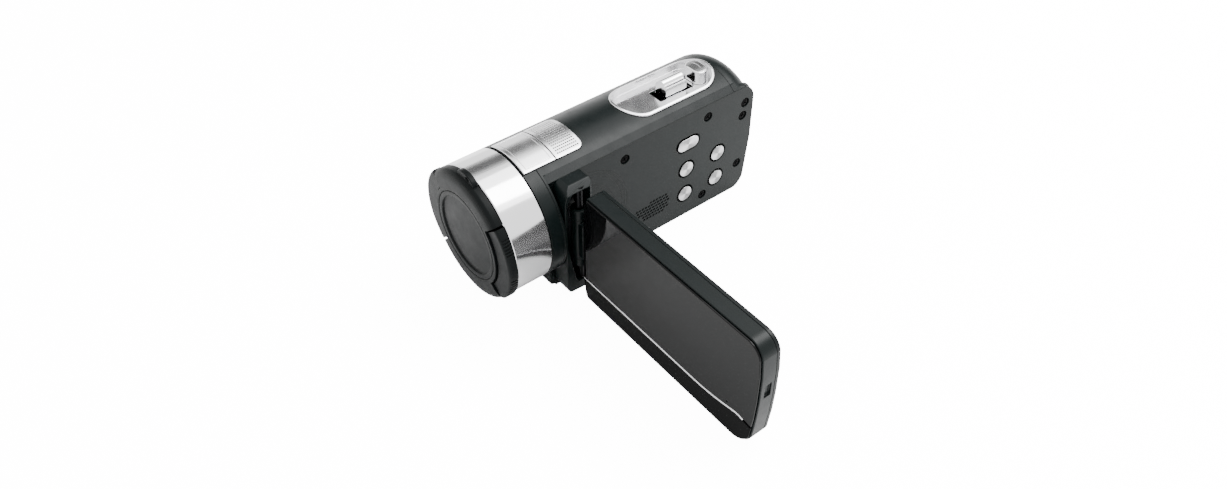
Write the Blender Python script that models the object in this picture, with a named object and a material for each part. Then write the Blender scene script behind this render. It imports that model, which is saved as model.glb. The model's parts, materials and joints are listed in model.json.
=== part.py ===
"""A compact camcorder with a swing-out screen, built as separate named pieces.

Frame: metres, +Z up. The lens looks along -Y and the screen hinges on the +X side.
The origin is on the flat underside, below the lens axis. Sizes below are in millimetres.
"""

import math

import bmesh
import bpy
from mathutils import Matrix, Vector

MM = 0.001
GAP = 0.3
ROUND_STEPS = 36

# Lens barrel and the round upper body share one axis along Y.
AXIS_Z = 30.2
BODY_R = 25.0
BARREL_FRONT_Y = -67.0
BARREL_REAR_Y = -52.4
BARREL_BORE_R = 22.5
COLLAR_FRONT_Y = -52.1
COLLAR_REAR_Y = -46.0

# Body envelope.
BODY_FRONT_Y = -46.8
BODY_REAR_Y = 52.0
SPLIT_Y = 40.0
WALL = 1.8
SIDE_X = 14.4
LIP_X = 14.9
CREASE_Z = 49.95
FACET_ANGLE = 29.0
FOOT_CHAMFER = 0.9
FOOT_CORNER_R = 10.0
DOME_FRONT_Y = 41.3
DOME_CENTRE_R = 10.5
DOME_STEPS = 72
SLAB_X = 12.2
PANEL_CORNER_R = 7.6
REAR_LOW_R = 6.0

# Hinge block on the left side, with its cavity and the screen's swing axis.
BLOCK_X = 23.0
BLOCK_FRONT_Y = -45.0
BLOCK_REAR_Y = -32.6
BLOCK_LOW_Z = 2.2
BLOCK_TOP_Z = 50.3
CAVITY_X = 16.0
SWING_X = 20.6
SWING_Y = -37.4
KNUCKLE_R = 3.2
KNUCKLE_LOW_Z = 13.0
KNUCKLE_TOP_Z = 39.4
ARM_HALF_HEIGHT = 8.0
ARM_END_X = 25.6
PIN_R = 1.5
TILT_SHAFT_R = 2.0

# Screen panel, standing open at right angles to the body.
PANEL_NEAR_X = 26.4
PANEL_FAR_X = 113.7
PANEL_LOW_Z = 2.0
PANEL_TOP_Z = 50.2
PANEL_FRONT_Y = -40.8
PANEL_REAR_Y = -32.6
PANEL_MID_Y = (PANEL_FRONT_Y + PANEL_REAR_Y) / 2
PANEL_MID_Z = (PANEL_LOW_Z + PANEL_TOP_Z) / 2
PANEL_CORNERS_R = (8.4, 6.6)
TRIM_STRIP_Z = (11.5, 12.5)
SCREEN_WIDTH = 67.0
SCREEN_HEIGHT = 38.0
SCREEN_MID_X = 73.0

# Side buttons and screws, as (y, z) on the side panel.
BUTTON_COLUMN_Y = (18.45, 34.55)
BUTTON_ROW_Z = (35.8, 23.5, 11.15)
BUTTON_R = 3.4
BUTTON_CLEARANCE = 0.6
OVAL_HALF_LENGTH = 5.2
OVAL_HALF_HEIGHT = 2.7
BUTTON_FACE_X = 14.8
BUTTON_FLANGE_X = 12.0
SCREW_PLACES = ((-12.0, 43.4), (27.9, 43.8), (47.2, 41.8), (46.5, 36.0), (46.0, 12.7), (27.9, 5.6))
SCREW_HOLE_R = 2.0

# Top trim, microphone grille and control deck.
TRIM_FRONT_Y = -51.6
TRIM_REAR_Y = -38.4
GRILLE_REAR_Y = -26.4
TRIM_ANGLES = (-25.0, 22.0)
TRIM_RISE = 0.5
DECK_FRONT_Y = -5.5
DECK_REAR_Y = 39.6
DECK_HALF_WIDTH = 10.0
LEVER_SLOT_Y = (13.5, 29.5)
LEVER_SLOT_X = (-3.6, 3.6)

# Lens cap.
CAP_REAR_Y = -67.3
CAP_FRONT_Y = -71.5
CAP_R = 25.0
CAP_LEVER_R = 26.7
CAP_LEVER_ARC_R = 22.3
CAP_LEVER_INNER_R = 19.4
CAP_SLOT_R = 18.4
CAP_LEVER_HALF_ANGLE = 39.0
CAP_LEVER_SIDE_GAP = 2.0
CAP_LEVER_CHAMFER = 0.7
LUG_HALF_LENGTH = 4.9
LUG_HALF_HEIGHT = 2.6
LUG_ANGLE = 2.5

# Side panel: loudspeaker.
SPEAKER_PLACE = (1.5, 12.5)
SPEAKER_R = 6.5
SPEAKER_SLOTS = 5

# Shutter button, as (x, y) on the deck.
PHOTO_PLACE = (0.0, 33.6)
PHOTO_HALF_X = 4.6
PHOTO_HALF_Y = 3.0

# Rear, grip side and underside. Rear places are (x, z); the bush is (x, y).
RECORD_PLACE = (-8.4, 34.6)
RECORD_R = 5.6
POWER_PLACE = (2.4, 39.0)
POWER_R = 2.6
INDICATOR_PLACE = (2.4, 32.0)
INDICATOR_R = 0.9
PORT_X = (-16.0, 4.0)
PORT_Z = (9.0, 24.0)
FLAP_Y = 51.2
FLAP_HALF = 0.7
BATTERY_DOOR_Y = (-8.0, 34.0)
BATTERY_DOOR_Z = (11.0, 29.5)
BATTERY_HINGE = (-24.9, -7.7)
BUSH_PLACE = (-4.0, 18.0)
STRAP_BARS_Y = (-36.0, 36.8)
STRAP_SLOT_Z = (21.0, 35.0)

# Cap springs.
SPRING_X = (14.0, 18.4)
SPRING_Y = -68.5
SPRING_R = 1.0

# Interior.
FRAME_X = (7.0, 8.6)
BOARD_X = (4.9, 6.5)

BLACK_SATIN = ("black_satin", (0.030, 0.032, 0.033), 0.42, 0.0)
BLACK_MATTE = ("black_matte", (0.022, 0.022, 0.023), 0.62, 0.0)
BLACK_GLOSS = ("black_gloss", (0.012, 0.013, 0.014), 0.08, 0.0)
CHROME = ("chrome", (0.80, 0.81, 0.82), 0.10, 1.0)
STEEL = ("steel", (0.55, 0.56, 0.57), 0.30, 1.0)
BRUSHED = ("brushed_metal", (0.62, 0.62, 0.63), 0.28, 1.0)
GLASS = ("coated_glass", (0.05, 0.06, 0.09), 0.04, 0.0)
RUBBER = ("rubber", (0.030, 0.030, 0.030), 0.80, 0.0)
CIRCUIT = ("circuit_board", (0.02, 0.16, 0.07), 0.50, 0.0)
GREY_PLASTIC = ("grey_plastic", (0.20, 0.20, 0.21), 0.50, 0.0)
BRASS = ("brass", (0.72, 0.52, 0.22), 0.30, 1.0)
LIGHT_PIPE = ("light_pipe", (0.60, 0.08, 0.05), 0.20, 0.0)


def clear_scene():
    """Remove every object so that the part starts from an empty scene."""
    for old in list(bpy.data.objects):
        bpy.data.objects.remove(old, do_unlink=True)


def material(finish):
    """Return the Principled material of a finish, making it on first use."""
    name, colour, roughness, metallic = finish
    found = bpy.data.materials.get(name)
    if found:
        return found
    made = bpy.data.materials.new(name)
    made.use_nodes = True
    shader = made.node_tree.nodes["Principled BSDF"]
    shader.inputs["Base Color"].default_value = (*colour, 1.0)
    shader.inputs["Roughness"].default_value = roughness
    shader.inputs["Metallic"].default_value = metallic
    made.diffuse_color = (*colour, 1.0)
    return made


def to_object(bm, name="piece"):
    """Turn a bmesh in millimetres into a linked object in metres."""
    bmesh.ops.recalc_face_normals(bm, faces=bm.faces)
    bmesh.ops.scale(bm, vec=Vector((MM, MM, MM)), verts=bm.verts)
    mesh = bpy.data.meshes.new(name)
    bm.to_mesh(mesh)
    bm.free()
    made = bpy.data.objects.new(name, mesh)
    bpy.context.scene.collection.objects.link(made)
    return made


def prism(outline, axis, start, end):
    """Extrude an outline along an axis; the outline holds the two other coordinates in XYZ order."""
    bm = bmesh.new()
    ring = []
    for first, second in outline:
        place = {"X": (start, first, second), "Y": (first, start, second), "Z": (first, second, start)}[axis]
        ring.append(bm.verts.new(place))
    face = bm.faces.new(ring)
    made = bmesh.ops.extrude_face_region(bm, geom=[face])
    step = {"X": (end - start, 0, 0), "Y": (0, end - start, 0), "Z": (0, 0, end - start)}[axis]
    moved = [item for item in made["geom"] if isinstance(item, bmesh.types.BMVert)]
    bmesh.ops.translate(bm, vec=Vector(step), verts=moved)
    return to_object(bm)


def box(x_range, y_range, z_range):
    """A plain block between three pairs of limits."""
    bm = bmesh.new()
    bmesh.ops.create_cube(bm, size=1.0)
    size = [high - low for low, high in (x_range, y_range, z_range)]
    middle = [(high + low) / 2 for low, high in (x_range, y_range, z_range)]
    bmesh.ops.scale(bm, vec=Vector(size), verts=bm.verts)
    bmesh.ops.translate(bm, vec=Vector(middle), verts=bm.verts)
    return to_object(bm)


def turned(profile, axis, centre, steps=ROUND_STEPS):
    """Turn a closed (radius, position) profile about an axis through the centre (the two other coordinates)."""
    bm = bmesh.new()
    first, second = centre
    points = []
    for radius, along in profile:
        place = {
            "X": (along, first + radius, second),
            "Y": (first + radius, along, second),
            "Z": (first + radius, second, along),
        }[axis]
        points.append(bm.verts.new(place))
    edges = [bm.edges.new((points[i], points[(i + 1) % len(points)])) for i in range(len(points))]
    pivot = {"X": (0, first, second), "Y": (first, 0, second), "Z": (first, second, 0)}[axis]
    direction = {"X": (1, 0, 0), "Y": (0, 1, 0), "Z": (0, 0, 1)}[axis]
    bmesh.ops.spin(
        bm, geom=points + edges, cent=pivot, axis=direction, angle=math.tau, steps=steps, use_merge=True
    )
    bmesh.ops.remove_doubles(bm, verts=bm.verts, dist=0.001)
    return to_object(bm)


def disc(radius, axis, centre, start, end, steps=ROUND_STEPS):
    """A plain cylinder along an axis."""
    ring = arc(centre, radius, 0.0, 360.0, steps)[:-1]
    return prism(ring, axis, start, end)


def tube(outer, inner, axis, centre, start, end, steps=ROUND_STEPS):
    """A plain ring along an axis."""
    profile = [(inner, start), (outer, start), (outer, end), (inner, end)]
    return turned(profile, axis, centre, steps)


def arc(centre, radius, start, end, steps):
    """Points on an arc, with angles in degrees from the first axis towards the second."""
    points = []
    for step in range(steps + 1):
        angle = math.radians(start + (end - start) * step / steps)
        points.append((centre[0] + radius * math.cos(angle), centre[1] + radius * math.sin(angle)))
    return points


def rounded_box_outline(low_a, high_a, low_b, high_b, radii, steps=6):
    """Outline of a rectangle whose corners (low-low, high-low, high-high, low-high) are rounded."""
    corners = ((low_a, low_b, 180), (high_a, low_b, 270), (high_a, high_b, 0), (low_a, high_b, 90))
    points = []
    for (a, b, start), radius in zip(corners, radii):
        centre_a = a + radius if a == low_a else a - radius
        centre_b = b + radius if b == low_b else b - radius
        points += arc((centre_a, centre_b), radius, start, start + 90, steps)
    return points


def combine(target, other, operation):
    """Apply an exact Boolean of two objects to the first, and remove the second."""
    modifier = target.modifiers.new("combine", "BOOLEAN")
    modifier.operation = operation
    modifier.solver = "EXACT"
    modifier.object = other
    graph = bpy.context.evaluated_depsgraph_get()
    mesh = bpy.data.meshes.new_from_object(target.evaluated_get(graph))
    target.modifiers.clear()
    target.data = mesh
    bpy.data.objects.remove(other, do_unlink=True)
    return target


def cut(target, *cutters):
    """Subtract each cutter."""
    for cutter in cutters:
        combine(target, cutter, "DIFFERENCE")
    return target


def join(target, *others):
    """Unite the target with each other object."""
    for other in others:
        combine(target, other, "UNION")
    return target


def keep(target, *limits):
    """Keep only what lies inside each limit."""
    for limit in limits:
        combine(target, limit, "INTERSECT")
    return target


def finish(made, name, look, origin=None, parent=None):
    """Name a piece, give it its material, clean its mesh, and put its origin on its joint's axis."""
    bm = bmesh.new()
    bm.from_mesh(made.data)
    bmesh.ops.remove_doubles(bm, verts=bm.verts, dist=0.005 * MM)
    bmesh.ops.dissolve_degenerate(bm, edges=bm.edges, dist=0.002 * MM)
    bmesh.ops.dissolve_limit(bm, angle_limit=math.radians(0.3), verts=bm.verts, edges=bm.edges)
    bmesh.ops.triangulate(bm, faces=bm.faces)
    bmesh.ops.recalc_face_normals(bm, faces=bm.faces)
    place = Vector(origin) * MM if origin else Vector((0.0, 0.0, 0.0))
    bmesh.ops.translate(bm, vec=-place, verts=bm.verts)
    bm.to_mesh(made.data)
    bm.free()
    made.name = name
    made.data.name = name
    made.data.materials.clear()
    made.data.materials.append(material(look))
    made.location = place
    if parent:
        made.parent = parent
        made.matrix_parent_inverse = Matrix.Translation(-parent.matrix_world.translation)
    made.data.shade_smooth()
    made.data.set_sharp_from_angle(angle=math.radians(32.0))
    return made


def joint_empty(name, place):
    """An empty that stands on a joint's axis and carries what turns about it."""
    made = bpy.data.objects.new(name, None)
    bpy.context.scene.collection.objects.link(made)
    made.location = Vector(place) * MM
    made.empty_display_size = 0.005
    bpy.context.view_layer.update()
    return made


# --- Body envelope -------------------------------------------------------------------------


def section(inset, lip):
    """Body cross-section (x, z): round top, slanted facet, flat left side, rounded right foot."""
    radius = BODY_R - inset
    facet = math.radians(90.0 - FACET_ANGLE)
    points = [(SIDE_X - inset - FOOT_CHAMFER, inset), (SIDE_X - inset, inset + FOOT_CHAMFER)]
    if lip:
        points += [(SIDE_X, CREASE_Z), (LIP_X, CREASE_Z)]
        start = math.degrees(facet)
    else:
        start = math.degrees(math.acos((SIDE_X - inset) / radius))
    points += arc((0.0, AXIS_Z), radius, start, 180.0, 28)
    corner = FOOT_CORNER_R - inset
    points += arc((-BODY_R + FOOT_CORNER_R, FOOT_CORNER_R), corner, 180.0, 270.0, 8)
    return points


def side_outline(inset, top):
    """Side view (y, z) with a rounded rear corner at the given height and a rounded underside."""
    rear = BODY_REAR_Y - inset
    low = -1.0 + inset
    front = BODY_FRONT_Y - 10.0
    points = [(front, 6.0), (BODY_FRONT_Y + inset, 3.0), (BODY_FRONT_Y + inset + 0.5, low + 2.2)]
    points += [(BODY_FRONT_Y + inset + 2.0, low), (rear - 4.5 - REAR_LOW_R, low)]
    points += arc((rear - 1.6 - REAR_LOW_R, low + 1.0 + REAR_LOW_R), REAR_LOW_R, 280.0, 352.0, 5)
    points += [(rear, 24.0)]
    points += arc((rear - 0.2 - PANEL_CORNER_R, top - PANEL_CORNER_R), PANEL_CORNER_R, 4.0, 90.0, 8)
    points += [(front, top)]
    return points


def rear_curve(inset):
    """The rear rounding as (distance from the lens axis, y), from the side to the rear plane."""
    across = BODY_R - DOME_CENTRE_R - inset
    along = BODY_REAR_Y - DOME_FRONT_Y - inset
    points = []
    for step in range(9):
        angle = math.radians(90.0 * step / 8)
        points.append((DOME_CENTRE_R + across * math.cos(angle), DOME_FRONT_Y + along * math.sin(angle)))
    return points


def rear_limit(inset):
    """What the body's rear may fill: a dome above, its plan outline below, a slab at the flat side."""
    front = BODY_FRONT_Y - 10.0
    curve = rear_curve(inset)
    profile = [(0.0, front), (BODY_R + 1.0, front), (BODY_R + 1.0, DOME_FRONT_Y), *curve, (0.0, curve[-1][1])]
    limit = turned(profile, "Y", (0.0, AXIS_Z), DOME_STEPS)
    plan = [(BODY_R + 1.0, front), (BODY_R + 1.0, curve[-1][1])]
    plan += [(-reach, place) for reach, place in reversed(curve)]
    plan += [(-BODY_R - 1.0, DOME_FRONT_Y), (-BODY_R - 1.0, front)]
    lower = prism(plan, "Z", -10.0, AXIS_Z)
    slab = prism(side_outline(inset, CREASE_Z + 0.6 - inset), "X", SLAB_X, BODY_R + 1.0)
    return join(limit, lower, slab)


def envelope(inset, lip, front):
    """The body's solid, shrunk by an inset, from a front plane to the rounded rear."""
    solid = prism(section(inset, lip), "Y", front, BODY_REAR_Y + 2.0)
    keep(solid, prism(side_outline(inset, AXIS_Z + BODY_R + 9.0), "X", -40.0, 40.0))
    return keep(solid, rear_limit(inset))


def hollow_body():
    """The closed body wall before it is divided into its mouldings."""
    shell = envelope(0.0, True, BODY_FRONT_Y)
    join(shell, disc(BODY_R, "Y", (0.0, AXIS_Z), COLLAR_FRONT_Y, COLLAR_REAR_Y))
    return cut(shell, envelope(WALL, False, BODY_FRONT_Y + WALL))


def main_shell():
    """Front, top, right side and underside in one moulding, open at the left and at the rear."""
    shell = hollow_body()
    cut(
        shell,
        disc(BARREL_BORE_R, "Y", (0.0, AXIS_Z), COLLAR_FRONT_Y - 1.0, BODY_FRONT_Y + WALL + 1.0),
        box((SIDE_X - WALL - GAP, 40.0), (BODY_FRONT_Y + WALL, 60.0), (-5.0, CREASE_Z)),
        box((-40.0, 40.0), (SPLIT_Y, 60.0), (-5.0, 70.0)),
        trim_seat(),
        deck_seat(),
        disc(5.0, "Z", BUSH_PLACE, -1.0, WALL + 1.0),
        box((-30.0, -20.0), BATTERY_DOOR_Y, BATTERY_DOOR_Z),
    )
    for place_y in STRAP_BARS_Y:
        cut(shell, strap_slot(place_y))
    return finish(shell, "main_shell", BLACK_SATIN)


def rear_cover():
    """The rounded rear moulding with the record button's hole and the port recess."""
    shell = hollow_body()
    keep(shell, box((-40.0, 40.0), (SPLIT_Y + GAP, 60.0), (-5.0, 70.0)))
    cut(
        shell,
        box((SIDE_X - WALL - GAP, 40.0), (BODY_FRONT_Y + WALL, 60.0), (-5.0, CREASE_Z)),
        disc(RECORD_R + 0.5, "Y", RECORD_PLACE, 45.0, 60.0),
        disc(POWER_R + 0.4, "Y", POWER_PLACE, 45.0, 60.0),
        disc(INDICATOR_R + 0.2, "Y", INDICATOR_PLACE, 45.0, 60.0),
        box(PORT_X, (45.0, 60.0), PORT_Z),
    )
    return finish(shell, "rear_cover", BLACK_SATIN)


def left_cover():
    """The flat side panel with the screen's hinge block."""
    panel = prism(section(0.0, True), "Y", BODY_FRONT_Y + WALL + GAP, BODY_REAR_Y + 2.0)
    keep(panel, prism(side_outline(0.0, CREASE_Z - GAP), "X", -40.0, 40.0))
    keep(panel, box((SIDE_X - WALL, SIDE_X), (-60.0, 60.0), (-5.0, CREASE_Z - GAP)))
    join(panel, hinge_block())
    cut(
        panel,
        box((CAVITY_X, BLOCK_X + 5.0), (BLOCK_FRONT_Y + 1.5, SWING_Y + KNUCKLE_R + 0.3), (5.5, 47.2)),
        box(
            (CAVITY_X + 0.6, BLOCK_X + 5.0),
            (SWING_Y, BLOCK_REAR_Y + 3.0),
            (PANEL_MID_Z - ARM_HALF_HEIGHT - 0.8, PANEL_MID_Z + ARM_HALF_HEIGHT + 0.8),
        ),
        disc(PIN_R + GAP, "Z", (SWING_X, SWING_Y), 3.9, 48.9, 24),
    )
    for row, place_z in enumerate(BUTTON_ROW_Z):
        for column, place_y in enumerate(BUTTON_COLUMN_Y):
            if row == 0 and column == 0:
                cut(panel, oval_prism(BUTTON_CLEARANCE, SIDE_X - WALL - 1.0, SIDE_X + 1.0))
            elif row > 0:
                hole_r = BUTTON_R + BUTTON_CLEARANCE
                cut(panel, disc(hole_r, "X", (place_y, place_z), SIDE_X - WALL - 1.0, SIDE_X + 1.0, 28))
    for place_y, place_z in SCREW_PLACES:
        cut(panel, disc(SCREW_HOLE_R, "X", (place_y, place_z), SIDE_X - 1.1, SIDE_X + 1.0, 16))
        cut(panel, disc(1.1, "X", (place_y, place_z), SIDE_X - WALL - 1.0, SIDE_X, 12))
    for step in range(SPEAKER_SLOTS):
        cut(panel, speaker_slot(step))
    return finish(panel, "left_cover", BLACK_MATTE)


def hinge_block():
    """The block that holds the screen's hinge, with its front corner rounded and its outer edges chamfered."""
    outline = [(BLOCK_FRONT_Y, BLOCK_LOW_Z + 5.0), (BLOCK_FRONT_Y + 0.3, BLOCK_LOW_Z + 1.8)]
    outline += [(BLOCK_FRONT_Y + 0.9, BLOCK_LOW_Z + 0.6), (BLOCK_FRONT_Y + 2.0, BLOCK_LOW_Z)]
    outline += [(BLOCK_REAR_Y, BLOCK_LOW_Z - 0.6)]
    outline += [(BLOCK_REAR_Y, BLOCK_TOP_Z), (BLOCK_FRONT_Y + 3.6, BLOCK_TOP_Z)]
    outline += [(BLOCK_FRONT_Y + 1.2, BLOCK_TOP_Z - 2.0), (BLOCK_FRONT_Y + 0.2, BLOCK_TOP_Z - 5.5)]
    outline += [(BLOCK_FRONT_Y, BLOCK_TOP_Z - 9.0)]
    block = prism(outline, "X", SIDE_X - 0.5, BLOCK_X)
    front_cut = [(BLOCK_X + 1.0, BLOCK_TOP_Z - 2.9), (BLOCK_X + 1.0, BLOCK_TOP_Z + 2.0)]
    front_cut += [(BLOCK_X - 4.0, BLOCK_TOP_Z + 2.0), (BLOCK_X - 4.0, BLOCK_TOP_Z + 0.85)]
    cut(block, prism(front_cut, "Y", -60.0, -20.0))
    rear_cut = [(BLOCK_X + 1.0, BLOCK_REAR_Y - 3.0), (BLOCK_X + 1.0, BLOCK_REAR_Y + 1.0)]
    rear_cut += [(BLOCK_X - 2.0, BLOCK_REAR_Y + 1.0)]
    cut(block, prism(rear_cut, "Z", -5.0, 60.0))
    return cut(block, box((SIDE_X - 2.0, LIP_X + GAP), (-60.0, -20.0), (CREASE_Z - GAP, 60.0)))


def oval_prism(margin, start, end):
    """The oval button's outline grown by a margin, extruded along X."""
    half_height = OVAL_HALF_HEIGHT + margin
    reach = OVAL_HALF_LENGTH - OVAL_HALF_HEIGHT
    centre_y = BUTTON_COLUMN_Y[0]
    centre_z = BUTTON_ROW_Z[0]
    points = arc((centre_y + reach, centre_z), half_height, -90.0, 90.0, 12)
    points += arc((centre_y - reach, centre_z), half_height, 90.0, 270.0, 12)
    return prism(points, "X", start, end)


# --- Side controls -------------------------------------------------------------------------


def speaker_slot(step):
    """One slanted slot of the speaker grille."""
    low_y = -7.0 + step * 3.2
    low_z = 8.6 + 0.25 * step
    outline = [(low_y, low_z), (low_y + 1.0, low_z), (low_y + 4.2, low_z + 6.4), (low_y + 3.2, low_z + 6.4)]
    return prism(outline, "X", SIDE_X - WALL - 1.0, SIDE_X + 1.0)


def side_button(name, place):
    """A round button with its retaining flange behind the panel."""
    stem = disc(BUTTON_R, "X", place, BUTTON_FLANGE_X - 0.5, BUTTON_FACE_X, 28)
    join(stem, disc(BUTTON_R + 1.3, "X", place, BUTTON_FLANGE_X - 1.3, BUTTON_FLANGE_X, 28))
    return finish(stem, name, BRUSHED, (BUTTON_FACE_X, *place))


def oval_button():
    """The oval button of the first row."""
    stem = oval_prism(0.0, BUTTON_FLANGE_X - 0.5, BUTTON_FACE_X)
    join(stem, oval_prism(1.3, BUTTON_FLANGE_X - 1.3, BUTTON_FLANGE_X))
    place = (BUTTON_COLUMN_Y[0], BUTTON_ROW_Z[0])
    return finish(stem, "button_oval", BRUSHED, (BUTTON_FACE_X, *place))


def side_screw(number, place):
    """A screw whose head sits in the panel's counterbore and whose shank crosses the mid frame."""
    screw = disc(1.7, "X", place, SIDE_X - 0.9, SIDE_X - 0.3, 16)
    join(screw, disc(0.8, "X", place, FRAME_X[0] + 0.2, SIDE_X - 0.6, 12))
    slot = [(place[0] - 1.2, place[1] - 0.25), (place[0] + 1.2, place[1] - 0.25)]
    slot += [(place[0] + 1.2, place[1] + 0.25), (place[0] - 1.2, place[1] + 0.25)]
    cut(screw, prism(slot, "X", SIDE_X - 0.55, SIDE_X + 0.5))
    return finish(screw, f"side_screw_{number}", BLACK_MATTE)


def speaker():
    """The loudspeaker capsule behind its grille."""
    capsule = disc(SPEAKER_R, "X", SPEAKER_PLACE, FRAME_X[1] + 0.4, SIDE_X - WALL - GAP)
    return finish(capsule, "speaker", STEEL)


# --- Top -----------------------------------------------------------------------------------


def band(radius_in, radius_out, angles, front, rear, corner=0.0):
    """A piece of a ring about the lens axis, between two angles from the top, along Y."""
    low, high = 90.0 - angles[1], 90.0 - angles[0]
    outline = arc((0.0, AXIS_Z), radius_out, low, high, 16)
    outline += arc((0.0, AXIS_Z), radius_in, high, low, 16)
    made = prism(outline, "Y", front, rear)
    if corner:
        half = (BODY_R + TRIM_RISE) * math.sin(math.radians(angles[1]))
        other = (BODY_R + TRIM_RISE) * math.sin(math.radians(angles[0]))
        plan = rounded_box_outline(other, half, front - 5.0, rear, (0.5, 0.5, corner, corner))
        keep(made, prism(plan, "Z", 40.0, 70.0))
    return made


def trim_seat():
    """The shallow recess under the trim plate and the grille, with the microphone's opening."""
    angles = (TRIM_ANGLES[0] - 0.8, TRIM_ANGLES[1] + 0.8)
    seat = band(BODY_R - 0.9, BODY_R + 2.0, angles, TRIM_FRONT_Y - 5.0, GRILLE_REAR_Y + GAP, 3.0)
    return join(seat, disc(2.6, "Z", (0.0, -33.0), 45.0, 60.0, 20))


def top_trim_plate():
    """The bright plate just behind the barrel."""
    plate = band(BODY_R - 0.6, BODY_R + TRIM_RISE, TRIM_ANGLES, TRIM_FRONT_Y, TRIM_REAR_Y)
    return finish(plate, "top_trim_plate", CHROME)


def microphone_grille():
    """The bright plate with the microphone's openings, rounded at its rear corners."""
    angles = (TRIM_ANGLES[0], TRIM_ANGLES[1])
    plate = band(BODY_R - 0.6, BODY_R + TRIM_RISE, angles, TRIM_REAR_Y + GAP, GRILLE_REAR_Y, 2.6)
    for step in range(4):
        middle = -36.0 + step * 2.4
        cut(plate, box((-6.5, 5.5), (middle - 0.4, middle + 0.4), (45.0, 60.0)))
    return finish(plate, "microphone_grille", CHROME)


def microphone():
    """The microphone capsule under the grille."""
    capsule = disc(2.2, "Z", (0.0, -33.0), 50.6, 53.6, 20)
    return finish(capsule, "microphone", STEEL)


def stadium(margin, low_z, high_z):
    """The control deck's plan outline grown by a margin, extruded along Z."""
    half = DECK_HALF_WIDTH + margin
    front_end = DECK_FRONT_Y + DECK_HALF_WIDTH
    rear_end = DECK_REAR_Y - DECK_HALF_WIDTH
    points = arc((0.0, front_end), half, 180.0, 360.0, 16)
    points += arc((0.0, rear_end), half, 0.0, 180.0, 16)
    return prism(points, "Z", low_z, high_z)


def deck_seat():
    """The opening in the body's top that takes the control deck."""
    return stadium(GAP, 49.6, 60.0)


def lever_slot():
    """The slot that the zoom lever slides in."""
    return box(LEVER_SLOT_X, LEVER_SLOT_Y, (40.0, 60.0))


def control_deck():
    """The bright oval deck: a thin rim, a scooped front and a raised platform with the lever's slot."""
    deck = stadium(0.0, 50.0, 60.0)
    keep(deck, disc(BODY_R + 0.9, "Y", (0.0, AXIS_Z), -20.0, 60.0, 96))
    scoop = disc(13.0, "X", (-1.5, AXIS_Z + BODY_R + 9.6), -20.0, 20.0)
    keep(scoop, stadium(-1.1, 50.0, 62.0))
    cut(deck, scoop, lever_slot())
    cut(deck, photo_oval(0.4, 40.0, 60.0))
    return finish(deck, "control_deck", CHROME)




def zoom_lever():
    """The sliding zoom lever: a ridge along the slot on a wider foot below the deck."""
    lever = box((-3.0, 3.0), (16.5, 26.5), (49.0, 55.2))
    join(lever, disc(1.9, "Y", (-0.4, 55.0), 16.5, 26.5, 20))
    join(lever, box((-4.6, 4.6), (17.0, 26.0), (47.6, 49.4)))
    return finish(lever, "zoom_lever", CHROME, (0.0, 21.5, 55.0))


def photo_oval(margin, low_z, high_z):
    """The shutter button's outline grown by a margin, extruded along Z."""
    half = PHOTO_HALF_Y + margin
    reach = PHOTO_HALF_X - PHOTO_HALF_Y
    centre_x, centre_y = PHOTO_PLACE
    points = arc((centre_x + reach, centre_y), half, -90.0, 90.0, 10)
    points += arc((centre_x - reach, centre_y), half, 90.0, 270.0, 10)
    return prism(points, "Z", low_z, high_z)


def photo_button():
    """The shutter button at the deck's rear, crowned like the body below it."""
    button = photo_oval(0.0, 49.0, 60.0)
    keep(button, disc(BODY_R + 1.5, "Y", (0.0, AXIS_Z), 20.0, 50.0, 72))
    join(button, photo_oval(1.0, 48.6, 49.5))
    return finish(button, "photo_button", CHROME, (*PHOTO_PLACE, 56.7))


# --- Rear, grip side and underside ---------------------------------------------------------


def rear_button(name, place, radius, face_y, look):
    """A round rear button with a flange behind the cover."""
    button = disc(radius, "Y", place, 48.6, face_y, 32)
    join(button, disc(radius + 1.3, "Y", place, 47.4, 48.9, 32))
    return finish(button, name, look, (place[0], face_y, place[1]))


def indicator():
    """The status light's pipe."""
    return finish(disc(INDICATOR_R, "Y", INDICATOR_PLACE, 47.5, 52.2, 16), "status_light", LIGHT_PIPE)


def port_cover():
    """The rubber flap over the sockets, hinged along its lower edge."""
    low_z, high_z = PORT_Z[0] + GAP, PORT_Z[1] - GAP
    hinge_z = low_z + FLAP_HALF
    width = (PORT_X[0] + GAP, PORT_X[1] - GAP)
    flap = box(width, (FLAP_Y - FLAP_HALF, FLAP_Y + FLAP_HALF), (hinge_z, high_z))
    join(flap, disc(FLAP_HALF, "X", (FLAP_Y, hinge_z), *width, 12))
    return finish(flap, "port_cover", RUBBER, (PORT_X[0], FLAP_Y, hinge_z))


def port_block():
    """The block of sockets behind the flap."""
    block = box((-15.0, 3.0), (44.5, 49.9), (10.0, 23.0))
    cut(block, box((-13.0, -6.0), (46.0, 51.0), (12.0, 15.0)), box((-3.6, 1.0), (46.0, 51.0), (12.0, 15.0)))
    cut(block, disc(1.8, "Y", (-9.5, 19.0), 46.0, 51.0, 20))
    return finish(block, "port_block", STEEL)


def battery_door():
    """The door in the grip side, hinged along its front edge."""
    door = box(
        (-BODY_R + 0.1, -BODY_R + 1.5),
        (BATTERY_DOOR_Y[0] + GAP, BATTERY_DOOR_Y[1] - GAP),
        (BATTERY_DOOR_Z[0] + GAP, BATTERY_DOOR_Z[1] - GAP),
    )
    return finish(door, "battery_door", BLACK_SATIN, (*BATTERY_HINGE, BATTERY_DOOR_Z[0]))


def battery():
    """The flat rechargeable battery behind the door."""
    outline = rounded_box_outline(-22.4, -13.0, 12.0, 28.5, (1.5, 1.5, 1.5, 1.5), 3)
    return finish(prism(outline, "Y", -6.5, 32.5), "battery", GREY_PLASTIC)


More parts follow.
